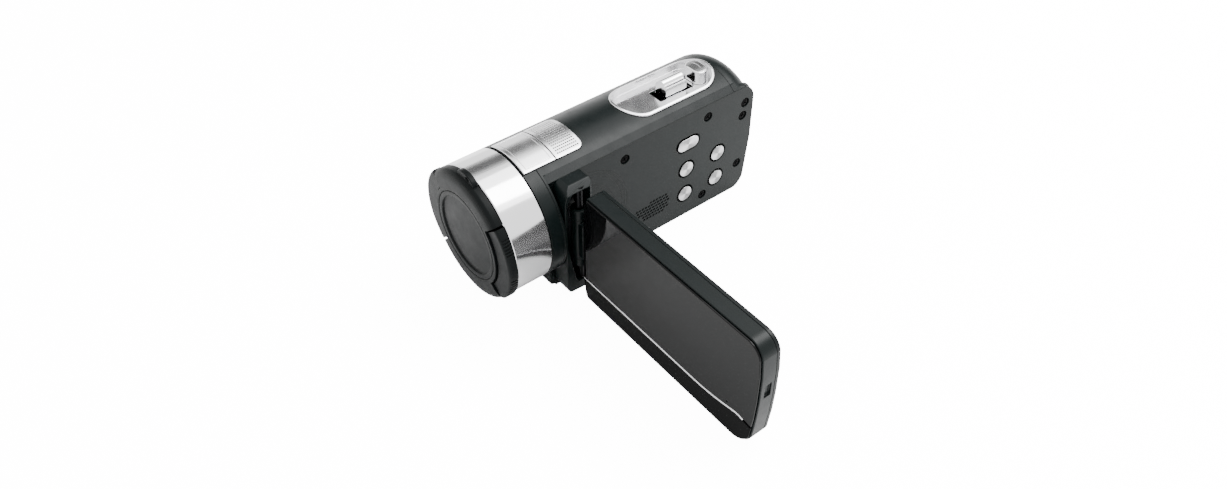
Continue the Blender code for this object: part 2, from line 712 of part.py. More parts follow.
def battery_tray():
    """The tray that holds the battery, open towards the door."""
    tray = box((-22.4, -10.8), (-8.4, 34.4), (9.6, 30.9))
    cut(tray, box((-30.0, -12.4), (-7.0, 33.0), (11.4, 29.1)))
    return finish(tray, "battery_tray", GREY_PLASTIC)


def tripod_bush():
    """The threaded bush for a tripod screw, flush with the underside."""
    return finish(tube(4.6, 3.0, "Z", BUSH_PLACE, 0.1, 7.5, 32), "tripod_bush", BRASS)


def strap_slot(place_y):
    """A recess in the grip side that a wrist strap is threaded through."""
    return box((-30.0, -BODY_R + 3.2), (place_y - 2.6, place_y + 2.6), STRAP_SLOT_Z)


def strap_bar(number, place_y):
    """The bar across a strap slot, held in a cup behind the wall."""
    cup = box((-BODY_R + 0.8, -BODY_R + 6.5), (place_y - 2.3, place_y + 2.3), (20.0 + 1.3, 36.0 - 1.3))
    cut(cup, box((-30.0, -BODY_R + 5.3), (place_y - 1.4, place_y + 1.4), (22.2, 33.8)))
    join(cup, disc(0.8, "Z", (-BODY_R + 2.4, place_y), 22.0, 34.0, 12))
    return finish(cup, f"strap_bar_{number}", BLACK_SATIN)


# --- Optics --------------------------------------------------------------------------------


def lens_barrel():
    """The bright sleeve flush with the round body."""
    sleeve = tube(BODY_R, BARREL_BORE_R, "Y", (0.0, AXIS_Z), BARREL_FRONT_Y, BARREL_REAR_Y, 56)
    return finish(sleeve, "lens_barrel", CHROME)


def barrel_core():
    """The black tube that carries the sleeve and enters the body."""
    core = tube(BARREL_BORE_R - GAP, 19.5, "Y", (0.0, AXIS_Z), -64.4, -45.6)
    return finish(core, "barrel_core", BLACK_MATTE)


def lens_bezel():
    """The stepped cone around the front glass."""
    profile = [(12.3, -57.0), (19.2, -57.0), (19.2, -64.2), (18.4, -64.2), (13.6, -59.4), (12.3, -59.4)]
    return finish(turned(profile, "Y", (0.0, AXIS_Z)), "lens_bezel", BLACK_MATTE)


def lens_glass(name, radius, front, rear, bulge):
    """A lens with a domed front."""
    steps = 6
    profile = [(0.0, rear), (radius, rear), (radius, front)]
    for step in range(1, steps):
        share = 1.0 - step / steps
        profile.append((radius * share, front - bulge * (1.0 - share * share)))
    profile.append((0.0, front - bulge))
    return finish(turned(profile, "Y", (0.0, AXIS_Z), 24), name, GLASS)


def lens_tube():
    """The tube that holds both lenses and carries the sensor."""
    profile = [(9.4, -56.6), (19.0, -56.6), (19.0, -54.6), (12.4, -54.6), (12.4, -30.0), (9.4, -30.0)]
    return finish(turned(profile, "Y", (0.0, AXIS_Z)), "lens_tube", BLACK_MATTE)


def sensor_module():
    """The image sensor on its small board."""
    board = box((-12.0, 6.0), (-29.6, -28.2), (AXIS_Z - 11.0, AXIS_Z + 11.0))
    join(board, box((-5.0, 5.0), (-31.2, -28.4), (AXIS_Z - 4.0, AXIS_Z + 4.0)))
    return finish(board, "sensor_module", CIRCUIT)


# --- Interior ------------------------------------------------------------------------------


def mid_frame():
    """The stiff plate that the screws of the side panel go into."""
    frame = box(FRAME_X, (-30.0, 60.0), (4.0, 46.0))
    keep(frame, envelope(WALL + 2 * GAP, False, BODY_FRONT_Y))
    for place_y, place_z in SCREW_PLACES:
        cut(frame, disc(1.1, "X", (place_y, place_z), FRAME_X[0] - 1.0, FRAME_X[1] + 1.0, 12))
    return finish(frame, "mid_frame", GREY_PLASTIC)


def main_board():
    """The main circuit board with its processor and card socket."""
    board = box(BOARD_X, (-24.0, 42.0), (8.0, 44.0))
    join(board, box((BOARD_X[0] - 1.4, BOARD_X[0] + 0.5), (-6.0, 8.0), (20.0, 34.0)))
    join(board, box((BOARD_X[0] - 2.6, BOARD_X[0] + 0.5), (12.0, 38.0), (24.0, 40.0)))
    return finish(board, "main_board", CIRCUIT)


# --- Screen and hinge ----------------------------------------------------------------------


def hinge_knuckle(parent):
    """The knuckle that turns on the hinge pin, with the arm that reaches the panel."""
    knuckle = disc(KNUCKLE_R, "Z", (SWING_X, SWING_Y), KNUCKLE_LOW_Z, KNUCKLE_TOP_Z, 28)
    low, high = PANEL_MID_Z - ARM_HALF_HEIGHT, PANEL_MID_Z + ARM_HALF_HEIGHT
    join(knuckle, box((SWING_X, ARM_END_X), (SWING_Y - 2.2, SWING_Y + 3.0), (low, high)))
    cut(knuckle, disc(PIN_R + GAP, "Z", (SWING_X, SWING_Y), 0.0, 60.0, 24))
    cut(knuckle, disc(TILT_SHAFT_R + GAP, "X", (PANEL_MID_Y, PANEL_MID_Z), 23.0, 30.0, 20))
    return finish(knuckle, "hinge_knuckle", BLACK_MATTE, (SWING_X, SWING_Y, PANEL_MID_Z), parent)


def hinge_pin():
    """The upright pin between the hinge block's two ends."""
    return finish(disc(PIN_R, "Z", (SWING_X, SWING_Y), 4.2, 48.6, 20), "hinge_pin", STEEL)


def tilt_shaft(parent):
    """The shaft along the panel that the screen tilts on."""
    shaft = disc(TILT_SHAFT_R, "X", (PANEL_MID_Y, PANEL_MID_Z), 23.3, 32.0, 20)
    return finish(shaft, "tilt_shaft", STEEL, (25.0, PANEL_MID_Y, PANEL_MID_Z), parent)


def panel_outline(inset):
    """The panel's outline (x, z): small corners at the hinge end, large ones at the far end."""
    low_x, high_x = PANEL_NEAR_X + inset, PANEL_FAR_X - inset
    low_z, high_z = PANEL_LOW_Z + inset, PANEL_TOP_Z - inset
    points = arc((low_x + 2.4, low_z + 2.4), 2.4, 180.0, 270.0, 4)
    low_r, high_r = PANEL_CORNERS_R
    points += arc((high_x - 0.8 - low_r, low_z + low_r), low_r, 270.0, 345.0, 8)
    points += [(high_x - 0.25, low_z + 16.0), (high_x, low_z + 25.0), (high_x - 0.2, high_z - 12.0)]
    points += arc((high_x - 0.8 - high_r, high_z - high_r), high_r, 12.0, 90.0, 8)
    points += arc((low_x + 2.4, high_z - 2.4), 2.4, 90.0, 180.0, 4)
    return points


def lcd_housing(parent):
    """The panel's moulded tray: side walls and the wall behind the glossy plate."""
    tray = prism(panel_outline(0.0), "Y", PANEL_FRONT_Y + 0.9, PANEL_REAR_Y - 1.9)
    cut(tray, prism(panel_outline(1.6), "Y", PANEL_FRONT_Y + 2.2, PANEL_REAR_Y))
    cut(tray, disc(TILT_SHAFT_R + GAP, "X", (PANEL_MID_Y, PANEL_MID_Z), 20.0, 34.0, 20))
    return finish(tray, "lcd_housing", BLACK_SATIN, (25.0, PANEL_MID_Y, PANEL_MID_Z), parent)


def lcd_plate(parent):
    """The glossy plate over the panel's outer face, cut back along the bright strip."""
    plate = prism(panel_outline(0.7), "Y", PANEL_FRONT_Y, PANEL_FRONT_Y + 0.6)
    cut(plate, box((20.0, 120.0), (-50.0, -30.0), (TRIM_STRIP_Z[0] - 30.0, TRIM_STRIP_Z[1] + GAP)))
    return finish(plate, "lcd_plate", BLACK_GLOSS, (25.0, PANEL_MID_Y, PANEL_MID_Z), parent)


def lcd_lower_plate(parent):
    """The glossy band below the bright strip."""
    plate = prism(panel_outline(0.7), "Y", PANEL_FRONT_Y, PANEL_FRONT_Y + 0.6)
    cut(plate, box((20.0, 120.0), (-50.0, -30.0), (TRIM_STRIP_Z[0] - GAP, 60.0)))
    return finish(plate, "lcd_lower_plate", BLACK_GLOSS, (25.0, PANEL_MID_Y, PANEL_MID_Z), parent)


def lcd_trim_strip(parent):
    """The thin bright strip along the lower part of the panel's outer face."""
    strip = box((PANEL_NEAR_X + 0.9, 107.5), (PANEL_FRONT_Y - 0.15, PANEL_FRONT_Y + 0.6), TRIM_STRIP_Z)
    return finish(strip, "lcd_trim_strip", CHROME, (25.0, PANEL_MID_Y, PANEL_MID_Z), parent)


def screen_outline(margin):
    """The screen's opening in the bezel, grown by a margin."""
    half_w, half_h = SCREEN_WIDTH / 2 + margin, SCREEN_HEIGHT / 2 + margin
    low_x, high_x = SCREEN_MID_X - half_w, SCREEN_MID_X + half_w
    return rounded_box_outline(low_x, high_x, PANEL_MID_Z - half_h, PANEL_MID_Z + half_h, (1.0,) * 4, 3)


def lcd_bezel(parent):
    """The frame around the screen, closing the tray."""
    frame = prism(panel_outline(0.0), "Y", PANEL_REAR_Y - 1.6, PANEL_REAR_Y)
    cut(frame, prism(screen_outline(0.0), "Y", PANEL_REAR_Y - 5.0, PANEL_REAR_Y + 5.0))
    return finish(frame, "lcd_bezel", BLACK_SATIN, (25.0, PANEL_MID_Y, PANEL_MID_Z), parent)


def lcd_window(parent):
    """The screen's clear window, set just below the bezel's face."""
    window = prism(screen_outline(-GAP), "Y", PANEL_REAR_Y - 1.5, PANEL_REAR_Y - 0.3)
    return finish(window, "lcd_window", GLASS, (25.0, PANEL_MID_Y, PANEL_MID_Z), parent)


def lcd_module(parent):
    """The display module inside the tray."""
    module = prism(screen_outline(1.5), "Y", PANEL_REAR_Y - 5.0, PANEL_REAR_Y - 2.0)
    return finish(module, "lcd_module", GREY_PLASTIC, (25.0, PANEL_MID_Y, PANEL_MID_Z), parent)


# --- Lens cap ------------------------------------------------------------------------------


def lever_sector(inner, outer, half_angle, front, rear, side):
    """A ring sector about the lens axis, centred on the +X or -X side."""
    middle = 0.0 if side > 0 else 180.0
    outline = arc((0.0, AXIS_Z), outer, middle - half_angle, middle + half_angle, 14)
    outline += arc((0.0, AXIS_Z), inner, middle + half_angle, middle - half_angle, 14)
    return prism(outline, "Y", front, rear)


def cap_lever(name, side):
    """One of the two pinch levers: its outer face bulges most at its middle, with a chamfered front edge."""
    front, rear = CAP_FRONT_Y + 0.7, CAP_REAR_Y - 0.2
    lever = lever_sector(CAP_LEVER_INNER_R, CAP_LEVER_R + 2.0, CAP_LEVER_HALF_ANGLE, front, rear, side)
    centre = (side * (CAP_LEVER_R - CAP_LEVER_ARC_R), AXIS_Z)
    chamfered = CAP_LEVER_ARC_R - CAP_LEVER_CHAMFER
    profile = [(0.0, front - 1.0), (chamfered, front - 1.0), (chamfered, front)]
    profile += [(CAP_LEVER_ARC_R, front + CAP_LEVER_CHAMFER), (CAP_LEVER_ARC_R, rear + 1.0), (0.0, rear + 1.0)]
    keep(lever, turned(profile, "Y", centre, 72))
    return finish(lever, name, BLACK_MATTE, (side * CAP_LEVER_R, CAP_FRONT_Y, AXIS_Z))


def lens_cap():
    """The cap's disc with a raised ring, a sunk centre, two lever slots and a lug for a tether."""
    low, high = CAP_FRONT_Y, CAP_REAR_Y
    profile = [(0.0, high + 1.9), (21.6, high + 1.9), (21.6, high), (CAP_R, high)]
    profile += [(CAP_R, high - 2.0), (CAP_R - 0.5, low + 1.3), (CAP_R - 1.7, low + 0.4)]
    profile += [(18.0, low), (17.0, low), (16.6, low + 0.5), (15.4, low + 0.6), (15.0, low + 0.9), (0.0, low + 0.9)]
    cap = turned(profile, "Y", (0.0, AXIS_Z), 48)
    for side in (1, -1):
        slot_angle = CAP_LEVER_HALF_ANGLE + CAP_LEVER_SIDE_GAP
        cut(cap, lever_sector(CAP_SLOT_R, 40.0, slot_angle, low - 1.0, high + 0.1, side))
        start, end = sorted((side * (SPRING_X[0] - GAP), side * 30.0))
        cut(cap, disc(SPRING_R + GAP, "X", (SPRING_Y, AXIS_Z), start, end, 16))
    join(cap, tether_lug())
    return finish(cap, "lens_cap", BLACK_MATTE, (0.0, CAP_REAR_Y, AXIS_Z))


def tether_lug():
    """The oval lug with an eye at the cap's upper edge."""
    angle = math.radians(LUG_ANGLE)
    outline = []
    for along, up in arc((0.0, 0.0), 1.0, 0.0, 360.0, 24)[:-1]:
        side = along * LUG_HALF_LENGTH
        height = CAP_R + up * LUG_HALF_HEIGHT
        turned_x = side * math.cos(angle) + height * math.sin(angle)
        outline.append((turned_x, AXIS_Z + height * math.cos(angle) - side * math.sin(angle)))
    lug = prism(outline, "Y", CAP_REAR_Y - 2.2, CAP_REAR_Y - 0.1)
    eye = (2.6, AXIS_Z + CAP_R + 0.9)
    return cut(lug, disc(0.9, "Y", eye, -90.0, -50.0, 16))


def cap_spring(name, side):
    """The small spring that pushes a lever outwards."""
    start, end = sorted((side * SPRING_X[0], side * SPRING_X[1]))
    spring = disc(SPRING_R, "X", (SPRING_Y, AXIS_Z), start, end, 16)
    return finish(spring, name, STEEL)


def build_body():
    """Build the fixed mouldings and what sits in them."""
    main_shell()
    rear_cover()
    left_cover()
    lens_barrel()
    barrel_core()
    top_trim_plate()
    microphone_grille()
    microphone()
    control_deck()
    port_block()
    battery()
    battery_tray()
    tripod_bush()
    mid_frame()
    main_board()
    speaker()
    indicator()
    hinge_pin()
    for number, place in enumerate(SCREW_PLACES, start=1):
        side_screw(number, place)
    for number, place_y in enumerate(STRAP_BARS_Y, start=1):
        strap_bar(number, place_y)


def build_optics():
    """Build the lens and the sensor."""
    lens_bezel()
    lens_tube()
    lens_glass("front_lens", 12.0, -59.0, -57.0, 1.6)
    lens_glass("rear_lens", 9.0, -40.0, -38.0, 0.8)
    sensor_module()


def build_controls():
    """Build every piece that is pressed, slid or opened."""
    oval_button()
    side_button("button_upper", (BUTTON_COLUMN_Y[0], BUTTON_ROW_Z[1]))
    side_button("button_lower", (BUTTON_COLUMN_Y[0], BUTTON_ROW_Z[2]))
    side_button("button_rear_upper", (BUTTON_COLUMN_Y[1], BUTTON_ROW_Z[1]))
    side_button("button_rear_lower", (BUTTON_COLUMN_Y[1], BUTTON_ROW_Z[2]))
    zoom_lever()
    photo_button()
    rear_button("record_button", RECORD_PLACE, RECORD_R, 53.2, BRUSHED)
    rear_button("power_button", POWER_PLACE, POWER_R, 52.7, BRUSHED)
    port_cover()
    battery_door()


def build_screen():
    """Build the hinge and the screen panel under empties on the two axes."""
    swing = joint_empty("swing_axis", (SWING_X, SWING_Y, PANEL_MID_Z))
    tilt = joint_empty("tilt_axis", (25.0, PANEL_MID_Y, PANEL_MID_Z))
    hinge_knuckle(swing)
    tilt_shaft(swing)
    for piece in (lcd_housing, lcd_plate, lcd_lower_plate, lcd_trim_strip, lcd_bezel, lcd_window, lcd_module):
        piece(tilt)


def build_cap():
    """Build the lens cap with its levers and springs."""
    lens_cap()
    for name, side in (("left", 1), ("right", -1)):
        cap_lever(f"cap_lever_{name}", side)
        cap_spring(f"cap_spring_{name}", side)


def main():
    """Build the camcorder."""
    clear_scene()
    build_body()
    build_optics()
    build_controls()
    build_screen()
    build_cap()


main()
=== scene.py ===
"""Looks of a compact camcorder with a swing-out screen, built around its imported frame.

Meshes are worked in millimetres by the Solid class and become pieces in metres. The frame
has +Z up, the lens looks along -Y and the screen stands out towards +X.
"""

import json
import logging
import math
from collections.abc import Callable, Iterable, Sequence
from dataclasses import dataclass, field
from enum import Enum

import bmesh
import bpy
from mathutils import Matrix, Vector

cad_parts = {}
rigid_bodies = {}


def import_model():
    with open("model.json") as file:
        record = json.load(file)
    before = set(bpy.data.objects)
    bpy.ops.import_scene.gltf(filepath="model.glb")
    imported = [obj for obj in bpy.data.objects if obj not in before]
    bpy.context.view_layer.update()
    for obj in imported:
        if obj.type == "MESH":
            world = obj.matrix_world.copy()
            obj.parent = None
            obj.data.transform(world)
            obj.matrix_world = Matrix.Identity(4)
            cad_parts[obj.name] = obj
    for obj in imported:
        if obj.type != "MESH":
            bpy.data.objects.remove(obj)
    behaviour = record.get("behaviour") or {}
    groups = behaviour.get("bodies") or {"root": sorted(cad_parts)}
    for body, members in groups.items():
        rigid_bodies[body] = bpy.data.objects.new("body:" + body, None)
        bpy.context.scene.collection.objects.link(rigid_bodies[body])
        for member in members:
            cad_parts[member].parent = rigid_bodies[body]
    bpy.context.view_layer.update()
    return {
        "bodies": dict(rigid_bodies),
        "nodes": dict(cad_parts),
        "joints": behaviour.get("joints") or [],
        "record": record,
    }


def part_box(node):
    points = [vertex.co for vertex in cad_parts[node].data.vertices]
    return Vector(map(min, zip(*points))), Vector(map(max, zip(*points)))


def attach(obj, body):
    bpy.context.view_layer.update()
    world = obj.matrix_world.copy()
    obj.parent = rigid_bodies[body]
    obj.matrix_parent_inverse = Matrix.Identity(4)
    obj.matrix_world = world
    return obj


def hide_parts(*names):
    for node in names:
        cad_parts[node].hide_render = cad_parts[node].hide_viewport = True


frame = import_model()

MM = 0.001
HAIRLINE = 0.06
Point = tuple[float, float]
Span = tuple[float, float]
Colour = tuple[float, float, float]

logging.basicConfig(level=logging.INFO, format="%(levelname)s %(message)s")
log = logging.getLogger("camcorder")


# --- Places and outlines ----------------------------------------------------------------------


class Axis(Enum):
    """A direction of the row frame, by the index of its coordinate."""

    X = 0
    Y = 1
    Z = 2


class Join(Enum):
    """How one solid acts on another."""

    ADD = "UNION"
    CUT = "DIFFERENCE"
    KEEP = "INTERSECT"


@dataclass(frozen=True)
class Extent:
    """The box of a CAD node, in millimetres."""

    low: Vector
    high: Vector

    @classmethod
    def of(cls, node: str) -> "Extent":
        """Read a node's box.

        Args:
            node: name of the CAD node.

        Returns:
            The node's box in millimetres.
        """
        low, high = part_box(node)
        return cls(low / MM, high / MM)

    @property
    def middle(self) -> Vector:
        """The box's centre."""
        return (self.low + self.high) / 2

    @property
    def size(self) -> Vector:
        """The box's three lengths."""
        return self.high - self.low


def arc(centre: Point, radius: float, start: float, end: float, steps: int) -> list[Point]:
    """Points on an arc.

    Args:
        centre: the arc's centre.
        radius: its radius.
        start: first angle in degrees, from the first axis towards the second.
        end: last angle in degrees.
        steps: number of chords.

    Returns:
        The points from start to end, both included.
    """
    turn = [math.radians(start + (end - start) * step / steps) for step in range(steps + 1)]
    return [(centre[0] + radius * math.cos(a), centre[1] + radius * math.sin(a)) for a in turn]


def circle(centre: Point, radius: float, steps: int = 32) -> list[Point]:
    """Points around a full circle."""
    return arc(centre, radius, 0.0, 360.0, steps)[:-1]


def ellipse(centre: Point, half: Point, turn: float = 0.0, steps: int = 32) -> list[Point]:
    """Points around an ellipse turned by an angle in degrees."""
    c, s = math.cos(math.radians(turn)), math.sin(math.radians(turn))
    ring = [(half[0] * a, half[1] * b) for a, b in circle((0.0, 0.0), 1.0, steps)]
    return [(centre[0] + a * c - b * s, centre[1] + a * s + b * c) for a, b in ring]


def rounded(low: Point, high: Point, radii: Sequence[float], steps: int = 8) -> list[Point]:
    """Outline of a rectangle with rounded corners.

    Args:
        low: the corner with the lowest coordinates.
        high: the opposite corner.
        radii: corner radii in the order low-low, high-low, high-high, low-high.
        steps: chords in each corner.

    Returns:
        The outline, counter-clockwise.
    """
    corners = ((low[0], low[1], 180), (high[0], low[1], 270), (high[0], high[1], 0), (low[0], high[1], 90))
    points: list[Point] = []
    for (a, b, start), radius in zip(corners, radii):
        centre = (a + radius if a == low[0] else a - radius, b + radius if b == low[1] else b - radius)
        points += arc(centre, radius, start, start + 90, steps)
    return points


def oblong(centre: Point, half: Point, steps: int = 16) -> list[Point]:
    """Outline of a slot with round ends; the longer half size sets its direction."""
    radius = min(half)
    return rounded(
        (centre[0] - half[0], centre[1] - half[1]), (centre[0] + half[0], centre[1] + half[1]), (radius,) * 4, steps
    )


def distinct(outline: Sequence[Point]) -> list[Point]:
    """Drop corners that repeat the one before them."""
    return [pair for index, pair in enumerate(outline) if math.dist(pair, outline[index - 1]) > 0.002]


# --- Solids -----------------------------------------------------------------------------------


class Solid:
    """A closed mesh in millimetres that operators shape before it becomes a piece."""

    def __init__(self, bm: bmesh.types.BMesh) -> None:
        """Take over a bmesh and turn its faces outwards."""
        self.bm = bm
        bmesh.ops.recalc_face_normals(bm, faces=bm.faces)

    @staticmethod
    def place(axis: Axis, along: float, pair: Point) -> Vector:
        """Put a distance along an axis and the two other coordinates together."""
        values = list(pair)
        values.insert(axis.value, along)
        return Vector(values)

    @classmethod
    def extruded(cls, outline: Sequence[Point], axis: Axis, start: float, end: float) -> "Solid":
        """Extrude an outline.

        Args:
            outline: the two other coordinates of each corner, in XYZ order.
            axis: direction of the extrusion.
            start: where it begins.
            end: where it ends.

        Returns:
            The closed prism.
        """
        bm = bmesh.new()
        face = bm.faces.new([bm.verts.new(cls.place(axis, start, pair)) for pair in distinct(outline)])
        made = bmesh.ops.extrude_face_region(bm, geom=[face])
        moved = [item for item in made["geom"] if isinstance(item, bmesh.types.BMVert)]
        bmesh.ops.translate(bm, vec=cls.place(axis, end - start, (0.0, 0.0)), verts=moved)
        return cls(bm)

    @classmethod
    def lofted(cls, sections: Sequence[tuple[float, Sequence[Point]]]) -> "Solid":
        """Extrude an outline along Y from section to section, reshaping it at each.

        Args:
            sections: the y of each section and its corners (x, z), always as many.

        Returns:
            The closed loft.
        """
        bm = bmesh.new()
        order = bm.verts.layers.int.new("order")
        ring = []
        start, outline = sections[0]
        for index, pair in enumerate(outline):
            corner = bm.verts.new(cls.place(Axis.Y, start, pair))
            corner[order] = index
            ring.append(corner)
        cap = bm.faces.new(ring)
        for number, (station, outline) in enumerate(sections[1:]):
            made = bmesh.ops.extrude_face_region(bm, geom=[cap])
            if number > 0:
                bmesh.ops.delete(bm, geom=[cap], context="FACES_ONLY")
            cap = next(item for item in made["geom"] if isinstance(item, bmesh.types.BMFace))
            for corner in cap.verts:
                corner.co = cls.place(Axis.Y, station, outline[corner[order]])
        return cls(bm)

    @classmethod
    def turned(cls, profile: Sequence[Point], axis: Axis, centre: Point, steps: int = 96) -> "Solid":
        """Turn a closed profile about an axis.

        Args:
            profile: (radius, distance along the axis) of each corner.
            axis: the axis of the turn.
            centre: the two other coordinates of the axis.
            steps: number of chords round the turn.

        Returns:
            The closed solid of revolution.
        """
        bm = bmesh.new()
        offset = (1.0, 0.0)
        ring = [
            bm.verts.new(cls.place(axis, along, (centre[0] + radius * offset[0], centre[1])))
            for radius, along in profile
        ]
        edges = [bm.edges.new((corner, ring[(i + 1) % len(ring)])) for i, corner in enumerate(ring)]
        bmesh.ops.spin(
            bm,
            geom=ring + edges,
            cent=cls.place(axis, 0.0, centre),
            axis=cls.place(axis, 1.0, (0.0, 0.0)),
            angle=math.tau,
            steps=steps,
            use_merge=True,
        )
        bmesh.ops.remove_doubles(bm, verts=bm.verts, dist=0.001)
        on_axis = [edge for edge in bm.edges if not edge.link_faces]
        bmesh.ops.delete(bm, geom=on_axis, context="EDGES")
        return cls(bm)

    @classmethod
    def block(cls, x: Span, y: Span, z: Span) -> "Solid":
        """A block between three pairs of limits, as a raw form to cut with or to bevel."""
        bm = bmesh.new()
        bmesh.ops.create_cube(bm, size=1.0)
        bmesh.ops.scale(bm, vec=Vector([high - low for low, high in (x, y, z)]), verts=bm.verts)
        bmesh.ops.translate(bm, vec=Vector([(high + low) / 2 for low, high in (x, y, z)]), verts=bm.verts)
        return cls(bm)

    @classmethod
    def merged(cls, solids: Iterable["Solid"]) -> "Solid":
        """Gather solids that don't touch into one, so that a single operation applies them all."""
        bm = bmesh.new()
        for solid in solids:
            mesh = bpy.data.meshes.new("part")
            solid.bm.to_mesh(mesh)
            solid.bm.free()
            bm.from_mesh(mesh)
            bpy.data.meshes.remove(mesh)
        return cls(bm)

    def bevel(self, width: float, segments: int = 3, sharp: float = 30.0, where: Callable | None = None) -> "Solid":
        """Round the sharp edges.

        Args:
            width: width of the rounding.
            segments: faces across it.
            sharp: smallest angle in degrees that counts as an edge.
            where: a test that an edge's middle has to pass, or None for every edge.

        Returns:
            This solid.
        """
        limit = math.radians(sharp)
        chosen = []
        for edge in self.bm.edges:
            if len(edge.link_faces) == 2 and edge.calc_face_angle(0.0) > limit:
                middle = (edge.verts[0].co + edge.verts[1].co) / 2
                if where is None or where(middle):
                    chosen.append(edge)
        bmesh.ops.bevel(
            self.bm,
            geom=chosen,
            offset=width,
            offset_type="OFFSET",
            affect="EDGES",
            segments=segments,
            profile=0.5,
            material=-1,
            clamp_overlap=False,
        )
        bmesh.ops.remove_doubles(self.bm, verts=self.bm.verts, dist=0.002)
        return self

    def combine(self, other: "Solid", how: Join) -> "Solid":
        """Apply an exact Boolean and free the other solid."""
        first, second = (self._stand_in(solid) for solid in (self, other))
        modifier = first.modifiers.new("combine", "BOOLEAN")
        modifier.operation = how.value
        modifier.solver = "EXACT"
        modifier.object = second
        mesh = bpy.data.meshes.new_from_object(first.evaluated_get(bpy.context.evaluated_depsgraph_get()))
        self.bm = bmesh.new()
        self.bm.from_mesh(mesh)
        for stand_in in (first, second):
            old = stand_in.data
            bpy.data.objects.remove(stand_in, do_unlink=True)
            bpy.data.meshes.remove(old)
        bpy.data.meshes.remove(mesh)
        bmesh.ops.remove_doubles(self.bm, verts=self.bm.verts, dist=0.002)
        return self

    @staticmethod
    def _stand_in(solid: "Solid") -> bpy.types.Object:
        """Move a solid's mesh into a temporary object."""
        mesh = bpy.data.meshes.new("stand_in")
        solid.bm.to_mesh(mesh)
        solid.bm.free()
        made = bpy.data.objects.new("stand_in", mesh)
        bpy.context.scene.collection.objects.link(made)
        return made

    def cut(self, *others: "Solid") -> "Solid":
        """Subtract each other solid."""
        for other in others:
            self.combine(other, Join.CUT)
        return self

    def add(self, *others: "Solid") -> "Solid":
        """Unite with each other solid."""
        for other in others:
            self.combine(other, Join.ADD)
        return self

    def keep(self, *others: "Solid") -> "Solid":
        """Keep only what lies inside each other solid."""
        for other in others:
            self.combine(other, Join.KEEP)
        return self

    def turn(self, degrees: float, axis: Axis, about: Vector) -> "Solid":
        """Turn about an axis through a point."""
        spin = Matrix.Rotation(math.radians(degrees), 3, axis.name)
        bmesh.ops.rotate(self.bm, cent=about, matrix=spin, verts=self.bm.verts)
        return self

    def twin(self) -> "Solid":
        """A copy of this solid."""
        return Solid(self.bm.copy())


@dataclass
class Piece:
    """A finished object of the visual model and how the frame carries it."""

    name: str
    body: str
    slot: str
    stands_for: tuple[str, ...] = ()
    smooth_angle: float = 32.0
    weighted: bool = True

    def make(self, solid: Solid, finish: "Finish") -> bpy.types.Object:
        """Turn a solid into an object in metres, dress it and tie it to its body.

        Args:
            solid: the shape, in millimetres.
            finish: the finish of its surface.

        Returns:
            The object.
        """
        bm = solid.bm
        bmesh.ops.dissolve_degenerate(bm, edges=bm.edges, dist=0.001)
        bmesh.ops.recalc_face_normals(bm, faces=bm.faces)
        bmesh.ops.scale(bm, vec=Vector((MM, MM, MM)), verts=bm.verts)
        mesh = bpy.data.meshes.new(self.name)
        bm.to_mesh(mesh)
        bm.free()
        mesh.materials.append(finish.material())
        made = bpy.data.objects.new(self.name, mesh)
        bpy.context.scene.collection.objects.link(made)
        mesh.shade_smooth()
        mesh.set_sharp_from_angle(angle=math.radians(self.smooth_angle))
        if self.weighted:
            modifier = made.modifiers.new("even shading", "WEIGHTED_NORMAL")
            modifier.keep_sharp = True
        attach(made, self.body)
        if self.stands_for:
            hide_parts(*self.stands_for)
        log.info("%s: %d faces, rides on %s", self.name, len(mesh.polygons), self.body)
        return made


# --- Finishes ---------------------------------------------------------------------------------


